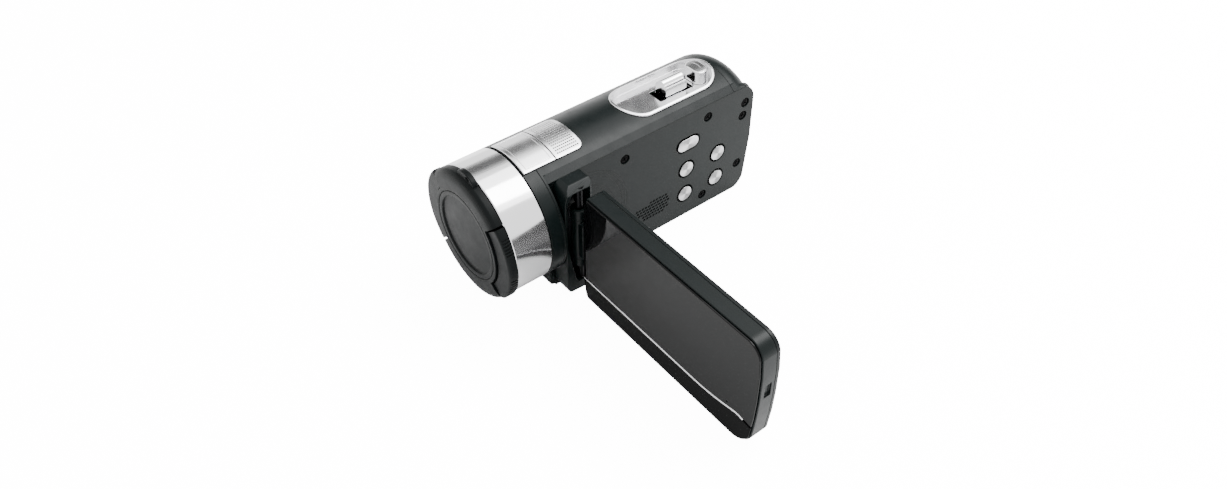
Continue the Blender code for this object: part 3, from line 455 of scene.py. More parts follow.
class Graph:
    """A material's node tree with short ways to add and link nodes."""

    def __init__(self, name: str) -> None:
        """Start a material with an empty Principled surface."""
        self.material = bpy.data.materials.new(name)
        self.material.use_nodes = True
        self.tree = self.material.node_tree
        self.shader = self.tree.nodes["Principled BSDF"]
        self.places = self.add("ShaderNodeTexCoord").outputs["Object"]

    def add(self, kind: str, **settings: object) -> bpy.types.Node:
        """Add a node and set its properties, or its inputs where the name is an input's."""
        node = self.tree.nodes.new(kind)
        for key, value in settings.items():
            if hasattr(node, key):
                setattr(node, key, value)
            else:
                node.inputs[key.replace("_", " ")].default_value = value
        return node

    def link(self, source: bpy.types.NodeSocket, target: bpy.types.NodeSocket) -> None:
        """Link an output to an input."""
        self.tree.links.new(source, target)

    def noise(self, size: float, detail: float = 2.0, stretch: Colour = (1.0, 1.0, 1.0)) -> bpy.types.NodeSocket:
        """Noise with features of a size in millimetres, stretched by a factor along each axis."""
        mapping = self.add("ShaderNodeMapping")
        mapping.inputs["Scale"].default_value = [1.0 / value for value in stretch]
        self.link(self.places, mapping.inputs["Vector"])
        noise = self.add("ShaderNodeTexNoise", Scale=1.0 / (size * MM), Detail=detail)
        self.link(mapping.outputs["Vector"], noise.inputs["Vector"])
        return noise.outputs["Fac"]

    def span(self, value: bpy.types.NodeSocket, low: float, high: float, start: float = 0.3, end: float = 0.7):
        """Map a value from start..end to low..high."""
        node = self.add("ShaderNodeMapRange")
        for key, number in (("From Min", start), ("From Max", end), ("To Min", low), ("To Max", high)):
            node.inputs[key].default_value = number
        self.link(value, node.inputs["Value"])
        return node.outputs["Result"]

    def blend(self, factor: bpy.types.NodeSocket, first: Colour, second: Colour) -> bpy.types.NodeSocket:
        """Mix two colours by a factor."""
        node = self.add("ShaderNodeMix", data_type="RGBA")
        self.link(factor, node.inputs["Factor"])
        node.inputs[6].default_value = (*first, 1.0)
        node.inputs[7].default_value = (*second, 1.0)
        return node.outputs[2]

    def soft_edges(self, radius: float) -> bpy.types.NodeSocket:
        """Normals that round every edge by a radius in millimetres."""
        return self.add("ShaderNodeBevel", samples=4, Radius=radius * MM).outputs["Normal"]

    def bump(
        self, height: bpy.types.NodeSocket, depth: float, normal: bpy.types.NodeSocket | None = None
    ) -> bpy.types.NodeSocket:
        """A bump of a depth in millimetres on top of earlier normals."""
        node = self.add("ShaderNodeBump", Distance=depth * MM, Strength=1.0)
        self.link(height, node.inputs["Height"])
        if normal:
            self.link(normal, node.inputs["Normal"])
        return node.outputs["Normal"]

    def wear(self, rounded_normal: bpy.types.NodeSocket) -> bpy.types.NodeSocket:
        """How far the rounded normals leave the flat ones: 0 on faces, 1 along worn edges."""
        flat = self.add("ShaderNodeNewGeometry").outputs["Normal"]
        dot = self.add("ShaderNodeVectorMath", operation="DOT_PRODUCT")
        self.link(rounded_normal, dot.inputs[0])
        self.link(flat, dot.inputs[1])
        return self.span(dot.outputs["Value"], 1.0, 0.0, 0.86, 0.995)


@dataclass(frozen=True)
class Finish:
    """A surface finish; every kind builds one material and keeps it."""

    name: str

    def material(self) -> bpy.types.Material:
        """Return this finish's material, made on first use."""
        found = bpy.data.materials.get(self.name)
        if found:
            return found
        graph = Graph(self.name)
        self.dress(graph)
        return graph.material

    def dress(self, graph: Graph) -> None:
        """Fill in the nodes."""
        raise NotImplementedError


@dataclass(frozen=True)
class Moulded(Finish):
    """Moulded plastic with a fine spark-eroded grain and slightly polished edges."""

    colour: Colour = (0.02, 0.02, 0.02)
    worn: Colour = (0.05, 0.05, 0.05)
    roughness: Span = (0.36, 0.46)
    grain: float = 0.14
    grain_depth: float = 0.004
    edge: float = 0.22
    specular: float = 0.16

    def dress(self, graph: Graph) -> None:
        """Mottle the colour, grain the surface and lighten its edges."""
        shader = graph.shader
        edges = graph.soft_edges(self.edge)
        mottle = graph.blend(graph.noise(9.0, 4.0), self.colour, tuple(value * 1.35 for value in self.colour))
        mix = graph.add("ShaderNodeMix", data_type="RGBA")
        graph.link(graph.wear(edges), mix.inputs["Factor"])
        graph.link(mottle, mix.inputs[6])
        mix.inputs[7].default_value = (*self.worn, 1.0)
        graph.link(mix.outputs[2], shader.inputs["Base Color"])
        graph.link(graph.span(graph.noise(5.0, 5.0), *self.roughness), shader.inputs["Roughness"])
        graph.link(graph.bump(graph.noise(self.grain, 2.0), self.grain_depth, edges), shader.inputs["Normal"])
        shader.inputs["Specular IOR Level"].default_value = self.specular


@dataclass(frozen=True)
class Polished(Finish):
    """Deep gloss plastic with faint handling haze and hair scratches."""

    colour: Colour = (0.0012, 0.0013, 0.0014)
    roughness: Span = (0.02, 0.05)
    edge: float = 0.2
    specular: float = 0.11

    def dress(self, graph: Graph) -> None:
        """Vary the haze over the gloss."""
        shader = graph.shader
        tone = graph.blend(graph.noise(30.0, 3.0), self.colour, tuple(value * 1.6 for value in self.colour))
        graph.link(tone, shader.inputs["Base Color"])
        haze = graph.span(graph.noise(14.0, 6.0), *self.roughness)
        graph.link(haze, shader.inputs["Roughness"])
        scratches = graph.noise(0.35, 3.0, (40.0, 1.0, 1.0))
        graph.link(graph.bump(scratches, 0.00015, graph.soft_edges(self.edge)), shader.inputs["Normal"])
        shader.inputs["Specular IOR Level"].default_value = self.specular


@dataclass(frozen=True)
class Metal(Finish):
    """Bare or plated metal with a lay of fine marks along one direction."""

    colour: Colour = (0.85, 0.86, 0.87)
    roughness: Span = (0.05, 0.09)
    lay: Colour = (1.0, 1.0, 1.0)
    mark_size: float = 0.3
    mark_depth: float = 0.0002
    edge: float = 0.2

    def dress(self, graph: Graph) -> None:
        """Tint the metal slightly and mark it."""
        shader = graph.shader
        tone = graph.blend(graph.noise(12.0, 4.0), self.colour, tuple(value * 0.94 for value in self.colour))
        graph.link(tone, shader.inputs["Base Color"])
        graph.link(graph.span(graph.noise(6.0, 5.0), *self.roughness), shader.inputs["Roughness"])
        marks = graph.noise(self.mark_size, 3.0, self.lay)
        graph.link(graph.bump(marks, self.mark_depth, graph.soft_edges(self.edge)), shader.inputs["Normal"])
        shader.inputs["Metallic"].default_value = 1.0


@dataclass(frozen=True)
class Spun(Finish):
    """Metal face turned on a lathe, with concentric rings about its own centre and painted highlight sectors in its
    colour.
    """

    centre: Colour = (0.0, 0.0, 0.0)
    axis: Axis = Axis.X
    colour: Colour = (0.82, 0.82, 0.83)
    # The next two set how dark the painted shade between the highlight sectors is and how the painted highlights are
    # turned.
    sector_shade: float = 0.28
    highlight_turn: float = 0.6
    roughness: float = 0.2
    pitch: float = 0.22
    depth: float = 0.01

    def dress(self, graph: Graph) -> None:
        """Ring the face about its centre and paint two highlight sectors, with painted shade between them, into its
        colour.
        """
        shader = graph.shader
        mapping = graph.add("ShaderNodeMapping")
        mapping.inputs["Location"].default_value = [-value * MM for value in self.centre]
        graph.link(graph.places, mapping.inputs["Vector"])
        rings = graph.add(
            "ShaderNodeTexWave", wave_type="RINGS", rings_direction=self.axis.name, Scale=0.31 / (self.pitch * MM)
        )
        rings.inputs["Distortion"].default_value = 0.4
        rings.inputs["Detail Scale"].default_value = 40.0
        graph.link(mapping.outputs["Vector"], rings.inputs["Vector"])
        edges = graph.soft_edges(0.25)
        graph.link(graph.bump(rings.outputs["Fac"], self.depth, edges), shader.inputs["Normal"])
        # The base colour holds painted highlight sectors with painted shade between them.
        graph.link(self.painted_highlight_sweep(graph, mapping.outputs["Vector"]), shader.inputs["Base Color"])
        shader.inputs["Roughness"].default_value = self.roughness
        shader.inputs["Metallic"].default_value = 1.0


    def painted_highlight_sweep(self, graph: Graph, place: bpy.types.NodeSocket) -> bpy.types.NodeSocket:
        """The tone round the centre: two painted highlight sectors with painted shade between them, plus a little
        random tone.
        """
        split = graph.add("ShaderNodeSeparateXYZ")
        graph.link(place, split.inputs["Vector"])
        others = [name for name in ("X", "Y", "Z") if name != self.axis.name]
        angle = graph.add("ShaderNodeMath", operation="ARCTAN2")
        graph.link(split.outputs[others[1]], angle.inputs[0])
        graph.link(split.outputs[others[0]], angle.inputs[1])
        # Two painted highlight lobes round the centre, taken from the angle.
        highlight_lobes = graph.add("ShaderNodeMath", operation="MULTIPLY_ADD")
        graph.link(angle.outputs["Value"], highlight_lobes.inputs[0])
        highlight_lobes.inputs[1].default_value, highlight_lobes.inputs[2].default_value = 2.0, self.highlight_turn
        wave = graph.add("ShaderNodeMath", operation="SINE")
        graph.link(highlight_lobes.outputs["Value"], wave.inputs[0])
        mixed = graph.add("ShaderNodeMath", operation="ADD")
        graph.link(graph.span(wave.outputs["Value"], 0.0, 0.8, -0.7, 0.9), mixed.inputs[0])
        graph.link(graph.span(graph.noise(0.5, 4.0), -0.12, 0.2), mixed.inputs[1])
        return graph.blend(mixed.outputs["Value"], tuple(value * self.sector_shade for value in self.colour), self.colour)


@dataclass(frozen=True)
class CoatedGlass(Finish):
    """Dark glass with an interference coating."""

    colour: Colour = (0.006, 0.008, 0.014)
    film: float = 420.0
    roughness: Span = (0.01, 0.03)

    def dress(self, graph: Graph) -> None:
        """Add the coating's film and a faint haze."""
        shader = graph.shader
        tone = graph.blend(graph.noise(20.0, 2.0), self.colour, tuple(value * 1.5 for value in self.colour))
        graph.link(tone, shader.inputs["Base Color"])
        graph.link(graph.span(graph.noise(10.0, 4.0), *self.roughness), shader.inputs["Roughness"])
        shader.inputs["Thin Film Thickness"].default_value = self.film
        shader.inputs["Thin Film IOR"].default_value = 1.38


@dataclass(frozen=True)
class Circuit(Finish):
    """A lacquered circuit board with tracks and pads."""

    colour: Colour = (0.01, 0.09, 0.035)

    def dress(self, graph: Graph) -> None:
        """Draw the tracks as offset bricks."""
        shader = graph.shader
        tracks = graph.add("ShaderNodeTexBrick", Scale=260.0, Mortar_Size=0.03, Bias=0.0)
        mapping = graph.add("ShaderNodeMapping")
        mapping.inputs["Rotation"].default_value = (0.0, math.pi / 2, 0.0)
        graph.link(graph.places, mapping.inputs["Vector"])
        graph.link(mapping.outputs["Vector"], tracks.inputs["Vector"])
        tone = graph.blend(tracks.outputs["Fac"], self.colour, (0.05, 0.24, 0.1))
        graph.link(tone, shader.inputs["Base Color"])
        graph.link(graph.span(graph.noise(3.0), 0.25, 0.4), shader.inputs["Roughness"])
        graph.link(graph.bump(tracks.outputs["Fac"], 0.03), shader.inputs["Normal"])


SATIN_BLACK = Moulded("satin_black", (0.0014, 0.0032, 0.0032), (0.009, 0.011, 0.011), (0.30, 0.38), 0.12, 0.0022)
MATT_BLACK = Moulded("matt_black", (0.0024, 0.0030, 0.0030), (0.010, 0.011, 0.011), (0.46, 0.56), 0.16, 0.006)
CAP_BLACK = Moulded(
    "cap_black", (0.0024, 0.0032, 0.0034), (0.012, 0.013, 0.013), (0.36, 0.44), 0.14, 0.004, 0.22, 0.075
)
DEEP_BLACK = Moulded(
    "deep_black", (0.0014, 0.0014, 0.0015), (0.003, 0.003, 0.003), (0.5, 0.62), 0.2, 0.006, 0.15, 0.06
)
GREY_MOULDED = Moulded("grey_moulded", (0.08, 0.08, 0.083), (0.13, 0.13, 0.13), (0.4, 0.5), 0.18, 0.005, 0.22, 0.4)
RUBBER = Moulded("soft_rubber", (0.006, 0.006, 0.006), (0.012, 0.012, 0.012), (0.68, 0.8), 0.2, 0.008, 0.35, 0.2)
GLOSS_BLACK = Polished("gloss_black")
INKY_BLACK = Polished("inky_black", (0.0008, 0.0008, 0.0009), (0.04, 0.08), 0.2, 0.025)
BLACKED_STEEL = Metal("blacked_steel", (0.012, 0.012, 0.013), (0.3, 0.4), (12.0, 12.0, 1.0), 0.1, 0.0008)
RED_PIPE = Polished("red_light_pipe", (0.45, 0.03, 0.02), (0.12, 0.2), 0.15)
CHROME = Metal("bright_chrome", (0.93, 0.93, 0.94), (0.10, 0.15))
SATIN_CHROME = Metal("satin_chrome", (0.90, 0.90, 0.91), (0.16, 0.22), (1.0, 14.0, 1.0), 0.12, 0.0006)
STEEL = Metal("plain_steel", (0.52, 0.53, 0.54), (0.24, 0.36), (1.0, 12.0, 12.0), 0.1, 0.0012)
BRASS = Metal("turned_brass", (0.70, 0.50, 0.22), (0.18, 0.3), (1.0, 1.0, 10.0), 0.12, 0.001)
LENS_GLASS = CoatedGlass("coated_lens")
SCREEN_GLASS = CoatedGlass("screen_glass", (0.004, 0.0045, 0.006), 0.0, (0.02, 0.05))
CIRCUIT = Circuit("circuit_board")


# --- Shared measures --------------------------------------------------------------------------

BARREL = Extent.of("lens_barrel")
AXIS_Z = BARREL.middle.z
BODY_R = BARREL.size.x / 2
LENS_AXIS = (0.0, AXIS_Z)
SIDE_X = 14.4
GROUND_Z = 0.0


def polar(radius: float, degrees: float) -> Point:
    """The (x, z) at a distance from the lens axis, at an angle from the top towards +X."""
    angle = math.radians(degrees)
    return radius * math.sin(angle), AXIS_Z + radius * math.cos(angle)


def shrunk(outline: Sequence[Point], distance: float) -> list[Point]:
    """Move every side of a counter-clockwise outline inwards.

    Args:
        outline: the corners.
        distance: how far inwards; negative grows the outline.

    Returns:
        The new corners.
    """
    moved = []
    for index, here in enumerate(outline):
        before = Vector(here) - Vector(outline[index - 1])
        after = Vector(outline[(index + 1) % len(outline)]) - Vector(here)
        first, second = Vector((-before.y, before.x)).normalized(), Vector((-after.y, after.x)).normalized()
        inward = (first + second).normalized()
        moved.append(tuple(Vector(here) + inward * distance / max(0.4, inward.dot(first))))
    return moved


def inside(point: Point, outline: Sequence[Point]) -> bool:
    """Tell whether a point lies inside a convex counter-clockwise outline."""
    for index, corner in enumerate(outline):
        following = outline[(index + 1) % len(outline)]
        across = (following[0] - corner[0]) * (point[1] - corner[1])
        if across < (following[1] - corner[1]) * (point[0] - corner[0]):
            return False
    return True


class SubAssembly:
    """A group of pieces that are built and dressed together."""

    def build(self) -> None:
        """Build and dress every piece of the group."""
        raise NotImplementedError

    @staticmethod
    def redress(node: str, finish: Finish) -> None:
        """Give a CAD node whose shape is right its real finish."""
        for slot in bpy.data.objects[node].material_slots:
            slot.material = finish.material()
        log.info("%s: carried over in %s", node, finish.name)


# --- Body -------------------------------------------------------------------------------------


@dataclass
class BodyShell(SubAssembly):
    """The round-topped body: a main moulding and a domed rear cover, with a thin lip at the side."""

    wall: float = 1.8
    front_y: float = -46.8
    rear_y: float = 52.0
    split_y: float = 40.0
    collar: Span = (-52.1, -46.0)
    bore_r: float = 22.5
    lip_x: float = 14.9
    crease_z: float = 49.95
    facet_start: float = 29.0
    foot_corner_r: float = 10.0
    front_rounding: Point = (2.0, 3.0)
    rear_low_r: float = 6.0
    rear_slope: tuple[Point, Point] = ((50.34, 5.16), (52.0, 24.0))
    dome_front_y: float = 41.3
    dome_centre_r: float = 10.5
    slab_x: float = 12.2
    panel_corner_r: float = 7.6
    opening_x: float = 12.3
    bush: Point = (-4.0, 18.0)

    def reach(self, y: float, inset: float) -> float:
        """How far from the lens axis the dome reaches at a distance along it."""
        along = self.rear_y - self.dome_front_y - inset
        share = min(1.0, max(0.0, (y - self.dome_front_y) / along))
        return self.dome_centre_r + (BODY_R - self.dome_centre_r - inset) * math.sqrt(1.0 - share * share)

    def floor_at(self, y: float, inset: float) -> float:
        """The underside's height along the body, rounded at the front and at the rear."""
        depth, height = self.front_rounding
        ahead = (self.front_y + inset + depth - y) / depth
        if ahead > 0.0:
            return inset + height * (1.0 - math.sqrt(max(0.0, 1.0 - ahead * ahead)))
        start, end = self.rear_slope
        centre = self.rear_y - 1.6 - self.rear_low_r - inset
        if y <= centre:
            return inset
        if y <= start[0] - inset:
            return inset + self.rear_low_r - math.sqrt(self.rear_low_r**2 - (y - centre) ** 2)
        return inset + start[1] + (y - start[0] + inset) / (end[0] - start[0]) * (end[1] - start[1])

    def slab_top(self, y: float) -> float:
        """The height of the flat side's own edge, with its rounded rear corner."""
        top, corner = self.crease_z + 0.6, self.panel_corner_r
        centre = self.rear_y - 0.2 - corner
        if y <= centre:
            return top
        along = min(y - centre, corner * 0.998)
        return top - corner + math.sqrt(corner * corner - along * along)

    def edge_at(self, x: float, y: float) -> float:
        """The height of the slanted facet, or of what the dome and the slab leave of it."""
        touch_x, touch_z = polar(BODY_R, self.facet_start)
        facet = touch_z - (x - touch_x) * (touch_z - self.crease_z) / (self.lip_x - touch_x)
        reach = self.reach(y, 0.0)
        dome = AXIS_Z + math.sqrt(max(0.0, reach * reach - x * x))
        return min(facet, max(dome, self.slab_top(y)))

    def right_side(self, y: float, inset: float) -> list[Point]:
        """The section's corners from the lens axis' height down the grip side to the underside."""
        corner = self.foot_corner_r
        points = [(inset - BODY_R, AXIS_Z - 6.0), (inset - BODY_R, AXIS_Z - 13.0)]
        points += arc((corner - BODY_R, corner), corner - inset, 180.0, 270.0, 16)
        reach, floor = self.reach(y, inset), self.floor_at(y, inset)
        return [(max(x, -reach), max(z, floor)) for x, z in points]

    def outer_at(self, y: float) -> list[Point]:
        """The outer section at a distance along the body."""
        floor, reach = self.floor_at(y, 0.0), self.reach(y, 0.0)
        points = [(SIDE_X - 0.9, floor), (SIDE_X, floor + 0.9)]
        lip = min(self.crease_z, self.slab_top(y) - 0.4)
        points += [(SIDE_X, lip), (self.lip_x, lip)]
        points += [(x, self.edge_at(x, y)) for x in (14.5, 14.0, 13.5, 13.0, 12.6, self.slab_x)]
        inner_x = self.slab_x - 0.01
        low = math.degrees(math.acos(min(1.0, inner_x / reach)))
        points.append((inner_x, AXIS_Z + reach * math.sin(math.radians(low))))
        high = 90.0 - self.facet_start
        points += arc(LENS_AXIS, reach, low, high, 8)[1:] + arc(LENS_AXIS, reach, high, 180.0, 80)[1:]
        return points + self.right_side(y, 0.0)

    def inner_at(self, y: float) -> list[Point]:
        """The inner section, one wall thickness inside."""
        inset = self.wall
        floor, reach, side = self.floor_at(y, inset), self.reach(y, inset), SIDE_X - inset
        points = [(side - 0.9, floor), (side, floor + 0.9)]
        for turn in range(0, 56, 5):
            distance = min(reach, side / math.cos(math.radians(turn)))
            angle = math.radians(turn)
            points.append((distance * math.cos(angle), AXIS_Z + distance * math.sin(angle)))
        points += arc(LENS_AXIS, reach, 58.0, 180.0, 36)
        return points + self.right_side(y, inset)

    def hull(self, inset: float) -> Solid:
        """The body's solid form, outer or one wall inside, with its dome at the rear."""
        front = self.front_y + inset
        depth = self.front_rounding[0]
        stations = [front + depth * (1.0 - math.cos(math.radians(turn))) for turn in range(0, 91, 15)]
        stations += [self.dome_front_y - 0.2]
        along = self.rear_y - self.dome_front_y - inset
        stations += [self.dome_front_y + along * math.sin(math.radians(turn)) for turn in range(0, 91, 3)]
        section = self.outer_at if inset == 0.0 else self.inner_at
        return Solid.lofted([(y, section(y)) for y in stations])

    def side_view(self, inset: float, top: float) -> list[Point]:
        """Side outline (y, z), counter-clockwise, with rounded rear corners."""
        front, rear = self.front_y + inset, self.rear_y - inset
        low = GROUND_Z + inset
        points = [(front, low + self.front_rounding[1])]
        points += arc((front + 2.0, low + 3.0), 2.0, 180.0, 270.0, 8)[1:-1] if inset == 0.0 else []
        points += [(front + 2.4, low)]
        points += arc((rear - 1.6 - self.rear_low_r, low + self.rear_low_r), self.rear_low_r, 270.0, 352.0, 16)
        points += [(rear, 24.0)]
        corner = self.panel_corner_r
        points += arc((rear - 0.2 - corner, top - corner), corner, 4.0, 90.0, 20)
        points += [(front, top)]
        return points

    def shell(self) -> Solid:
        """The closed wall: the hull and the collar, hollowed out."""
        collar = Solid.extruded(circle(LENS_AXIS, BODY_R, 160), Axis.Y, *self.collar)
        outer = self.hull(0.0).add(collar)
        groove = [(BODY_R - 0.22, self.front_y - 0.16), (BODY_R + 2.0, self.front_y - 0.16)]
        groove += [(BODY_R + 2.0, self.front_y + 0.06), (BODY_R - 0.22, self.front_y + 0.06)]
        return outer.cut(Solid.turned(groove, Axis.Y, LENS_AXIS, 144), self.hull(self.wall))

    def opened(self) -> Solid:
        """The wall with every opening cut in it."""
        bore = Solid.extruded(circle(LENS_AXIS, self.bore_r, 96), Axis.Y, self.collar[0] - 1.0, -44.0)
        side = Solid.block((self.opening_x, 40.0), (self.front_y + self.wall, 60.0), (-5.0, self.crease_z - 0.02))
        deck = Extent.of("control_deck")
        seat = TopControls.stadium(HAIRLINE * 2.5)
        return self.shell().cut(
            bore,
            side,
            TopTrim.seat(),
            Solid.extruded(seat, Axis.Z, deck.low.z - 0.4, 62.0),
            Solid.extruded(circle(self.bush, 4.75, 48), Axis.Z, -1.0, self.wall + 1.0),
            *self.grip_openings(),
            *self.rear_openings(),
        )

    def grip_openings(self) -> list[Solid]:
        """Openings in the grip side for the battery door and the strap."""
        door = Extent.of("battery_door")
        gap = 0.12
        outline = rounded((door.low.y - gap, door.low.z - gap), (door.high.y + gap, door.high.z + gap), (1.2,) * 4)
        openings = [Solid.extruded(outline, Axis.X, -30.0, -20.0)]
        for number in (1, 2):
            bar = Extent.of(f"strap_bar_{number}")
            low, high = (bar.low.y - 0.25, bar.low.z - 0.25), (bar.high.y + 0.25, bar.high.z + 0.25)
            openings.append(Solid.extruded(rounded(low, high, (1.0,) * 4), Axis.X, -30.0, -20.0))
        return openings

    def rear_openings(self) -> list[Solid]:
        """Flared holes for the rear controls and the recess of the port flap."""
        openings = []
        for node, gap in (("record_button", 0.3), ("power_button", 0.25), ("status_light", 0.12)):
            box = Extent.of(node)
            flange = 1.3 if node != "status_light" else 0.0
            radius = box.size.x / 2 - flange + gap
            profile = [(0.0, 44.0), (radius, 44.0), (radius, 51.75)]
            profile += [(radius + 0.5, 52.3), (radius + 0.5, 56.0), (0.0, 56.0)]
            openings.append(Solid.turned(profile, Axis.Y, (box.middle.x, box.middle.z), 64))
        flap = Extent.of("port_cover")
        low, high = (flap.low.x - 0.15, flap.low.z - 0.15), (flap.high.x + 0.15, flap.high.z + 0.15)
        openings.append(Solid.extruded(rounded(low, high, (1.4,) * 4), Axis.Y, 45.0, 60.0))
        return openings

    def build(self) -> None:
        """Build the main moulding and the rear cover on either side of a hairline joint."""
        whole = self.opened()
        rear = whole.twin().keep(Solid.block((-40.0, 40.0), (self.split_y + 2 * HAIRLINE, 60.0), (-5.0, 70.0)))
        main = whole.keep(Solid.block((-40.0, 40.0), (-60.0, self.split_y), (-5.0, 70.0)))
        Piece("main_moulding", "body", "black_satin", ("main_shell",)).make(main, SATIN_BLACK)
        Piece("rear_moulding", "body", "black_satin", ("rear_cover",)).make(rear, SATIN_BLACK)


@dataclass
class SidePanel(SubAssembly):
    """The flat side with the hinge block, its buttons, its screws and the speaker's grille."""

    body: BodyShell = field(default_factory=BodyShell)
    block: Span = (-45.0, -32.6)
    block_x: float = 23.0
    block_top: float = 50.3
    block_low: float = 2.2
    cavity_floor_x: float = 16.0
    cavity: tuple[Point, ...] = (
        (-40.0, 6.0),
        (-34.1, 6.0),
        (-34.1, 48.3),
        (-41.8, 48.3),
        (-43.2, 46.9),
        (-44.1, 44.4),
        (-44.4, 35.5),
        (-44.4, 25.2),
        (-42.8, 15.9),
        (-41.1, 7.9),
    )
    arm_slot: Span = (17.3, 34.9)
    swing: Point = (20.6, -37.4)
    groove_centre: Point = (-32.65, 24.8)
    groove_radii: tuple[float, ...] = (21.6, 20.4, 19.2, 15.7, 14.6, 13.5, 12.4)
    speaker_corners: tuple[Point, ...] = ((-8.0, 15.4), (-1.8, 7.3), (9.8, 9.1), (10.1, 14.5), (7.8, 16.4))
    hole_pitch: Point = (1.5, 1.45)
    slant: float = 0.62

    def hinge_block(self) -> Solid:
        """The block with its chamfers and softened edges."""
        front, rear = self.block
        low, top = self.block_low, self.block_top
        outline = [(front, low + 5.0), (front + 0.1, low + 3.2), (front + 0.3, low + 1.8), (front + 0.9, low + 0.6)]
        outline += [(front + 2.0, low), (rear, low - 0.6), (rear, top), (front + 3.6, top), (front + 2.2, top - 0.8)]
        outline += [(front + 1.2, top - 2.0), (front + 0.6, top - 3.6), (front + 0.2, top - 5.5), (front, top - 9.0)]
        block = Solid.extruded(outline, Axis.X, SIDE_X - 0.5, self.block_x)
        slope = [(self.block_x + 1.0, top - 2.9), (self.block_x + 1.0, top + 2.0)]
        slope += [(self.block_x - 4.0, top + 2.0), (self.block_x - 4.0, top + 0.85)]
        flank = [(self.block_x + 1.0, rear - 3.0), (self.block_x + 1.0, rear + 1.0), (self.block_x - 2.0, rear + 1.0)]
        block.cut(Solid.extruded(slope, Axis.Y, -60.0, -20.0), Solid.extruded(flank, Axis.Z, -5.0, 60.0))
        block.bevel(0.28, 3, 24.0, lambda middle: middle.x > SIDE_X + 0.5)
        lip = Solid.block((SIDE_X - 2.0, self.body.lip_x + 0.12), (-60.0, -20.0), (self.body.crease_z - 0.1, 60.0))
        return block.cut(lip)

    def button_hole(self, node: str) -> Solid:
        """A flared hole round a side button."""
        box = Extent.of(node)
        flange, gap = 1.3, 0.62
        if node == "button_oval":
            half = (box.size.y / 2 - flange + gap, box.size.z / 2 - flange + gap)
            centre = (box.middle.y, box.middle.z)
            mouth = oblong(centre, (half[0] + 0.2, half[1] + 0.2))
            hole = Solid.extruded(oblong(centre, half), Axis.X, SIDE_X - 4.0, SIDE_X + 1.0)
            return hole.add(Solid.extruded(mouth, Axis.X, SIDE_X - 0.12, SIDE_X + 0.8))
        radius = box.size.y / 2 - flange + gap
        profile = [(0.0, SIDE_X - 4.0), (radius, SIDE_X - 4.0), (radius, SIDE_X - 0.2), (radius + 0.3, SIDE_X + 0.1)]
        profile += [(radius + 0.3, SIDE_X + 1.0), (0.0, SIDE_X + 1.0)]
        return Solid.turned(profile, Axis.X, (box.middle.y, box.middle.z), 48)

    def screw_hole(self, number: int) -> Solid:
        """The counterbore of a side screw."""
        box = Extent.of(f"side_screw_{number}")
        profile = [(0.0, 12.0), (1.1, 12.0), (1.1, SIDE_X - 1.1), (2.0, SIDE_X - 1.1), (2.0, SIDE_X - 0.12)]
        profile += [(2.2, SIDE_X + 0.08), (2.2, SIDE_X + 1.0), (0.0, SIDE_X + 1.0)]
        return Solid.turned(profile, Axis.X, (box.middle.y, box.middle.z), 40)

    def speaker_holes(self) -> Solid:
        """The slanted holes in front of the loudspeaker, in diagonal rows."""
        step_y, step_z = self.hole_pitch
        holes = []
        for row in range(8):
            for column in range(-3, 14):
                centre = (-9.0 + column * step_y + row * step_z * self.slant, 7.2 + row * step_z)
                if inside(centre, self.speaker_corners):
                    y, z = centre
                    lean = self.slant * 0.48
                    outline = [(y - 0.5 - lean, z - 0.48), (y + 0.5 - lean, z - 0.48)]
                    outline += [(y + 0.5 + lean, z + 0.48), (y - 0.5 + lean, z + 0.48)]
                    holes.append(Solid.extruded(outline, Axis.X, SIDE_X - 3.0, SIDE_X + 0.5))
        return Solid.merged(holes)

    def grooves(self) -> Solid:
        """The shallow arcs engraved behind the hinge block."""
        rings = []
        for radius in self.groove_radii:
            profile = [(radius - 0.13, SIDE_X + 0.1), (radius, SIDE_X - 0.13), (radius + 0.13, SIDE_X + 0.1)]
            rings.append(Solid.turned(profile, Axis.X, self.groove_centre, 160))
        return Solid.merged(rings).keep(Solid.block((10.0, 20.0), (self.block[1] + 0.15, 20.0), (0.0, 60.0)))

    def panel(self) -> Solid:
        """The panel with its block, cavity, holes and grooves."""
        top = self.body.crease_z - HAIRLINE * 2
        front = self.body.front_y + self.body.wall + 0.1
        sheet = Solid.extruded(self.body.side_view(0.0, top), Axis.X, self.body.opening_x + 0.2, SIDE_X)
        sheet.keep(Solid.block((0.0, 40.0), (front, 60.0), (-5.0, 60.0)))
        sheet.bevel(0.3, 3, 30.0, lambda middle: middle.x > SIDE_X - 0.1 and middle.z > 1.0)
        sheet.add(self.hinge_block())
        cavity = Solid.extruded(self.cavity, Axis.X, self.cavity_floor_x, self.block_x + 3.0)
        cavity.bevel(0.5, 3, 30.0, lambda middle: middle.x < self.cavity_floor_x + 0.1)
        arm = Solid.block((self.cavity_floor_x + 0.6, 30.0), (self.swing[1], self.block[1] + 3.0), self.arm_slot)
        pin = Solid.extruded(circle(self.swing, 1.8, 32), Axis.Z, 3.9, 48.9)
        keys = [self.button_hole(node) for node in SideControls.KEYS]
        screws = [self.screw_hole(number) for number in range(1, 7)]
        return sheet.cut(cavity, arm, pin, Solid.merged(keys + screws), self.speaker_holes(), self.grooves())

    def build(self) -> None:
        """Build the panel in the body's satin black."""
        Piece("side_panel", "body", "black_matte", ("left_cover",), 28.0).make(self.panel(), SATIN_BLACK)


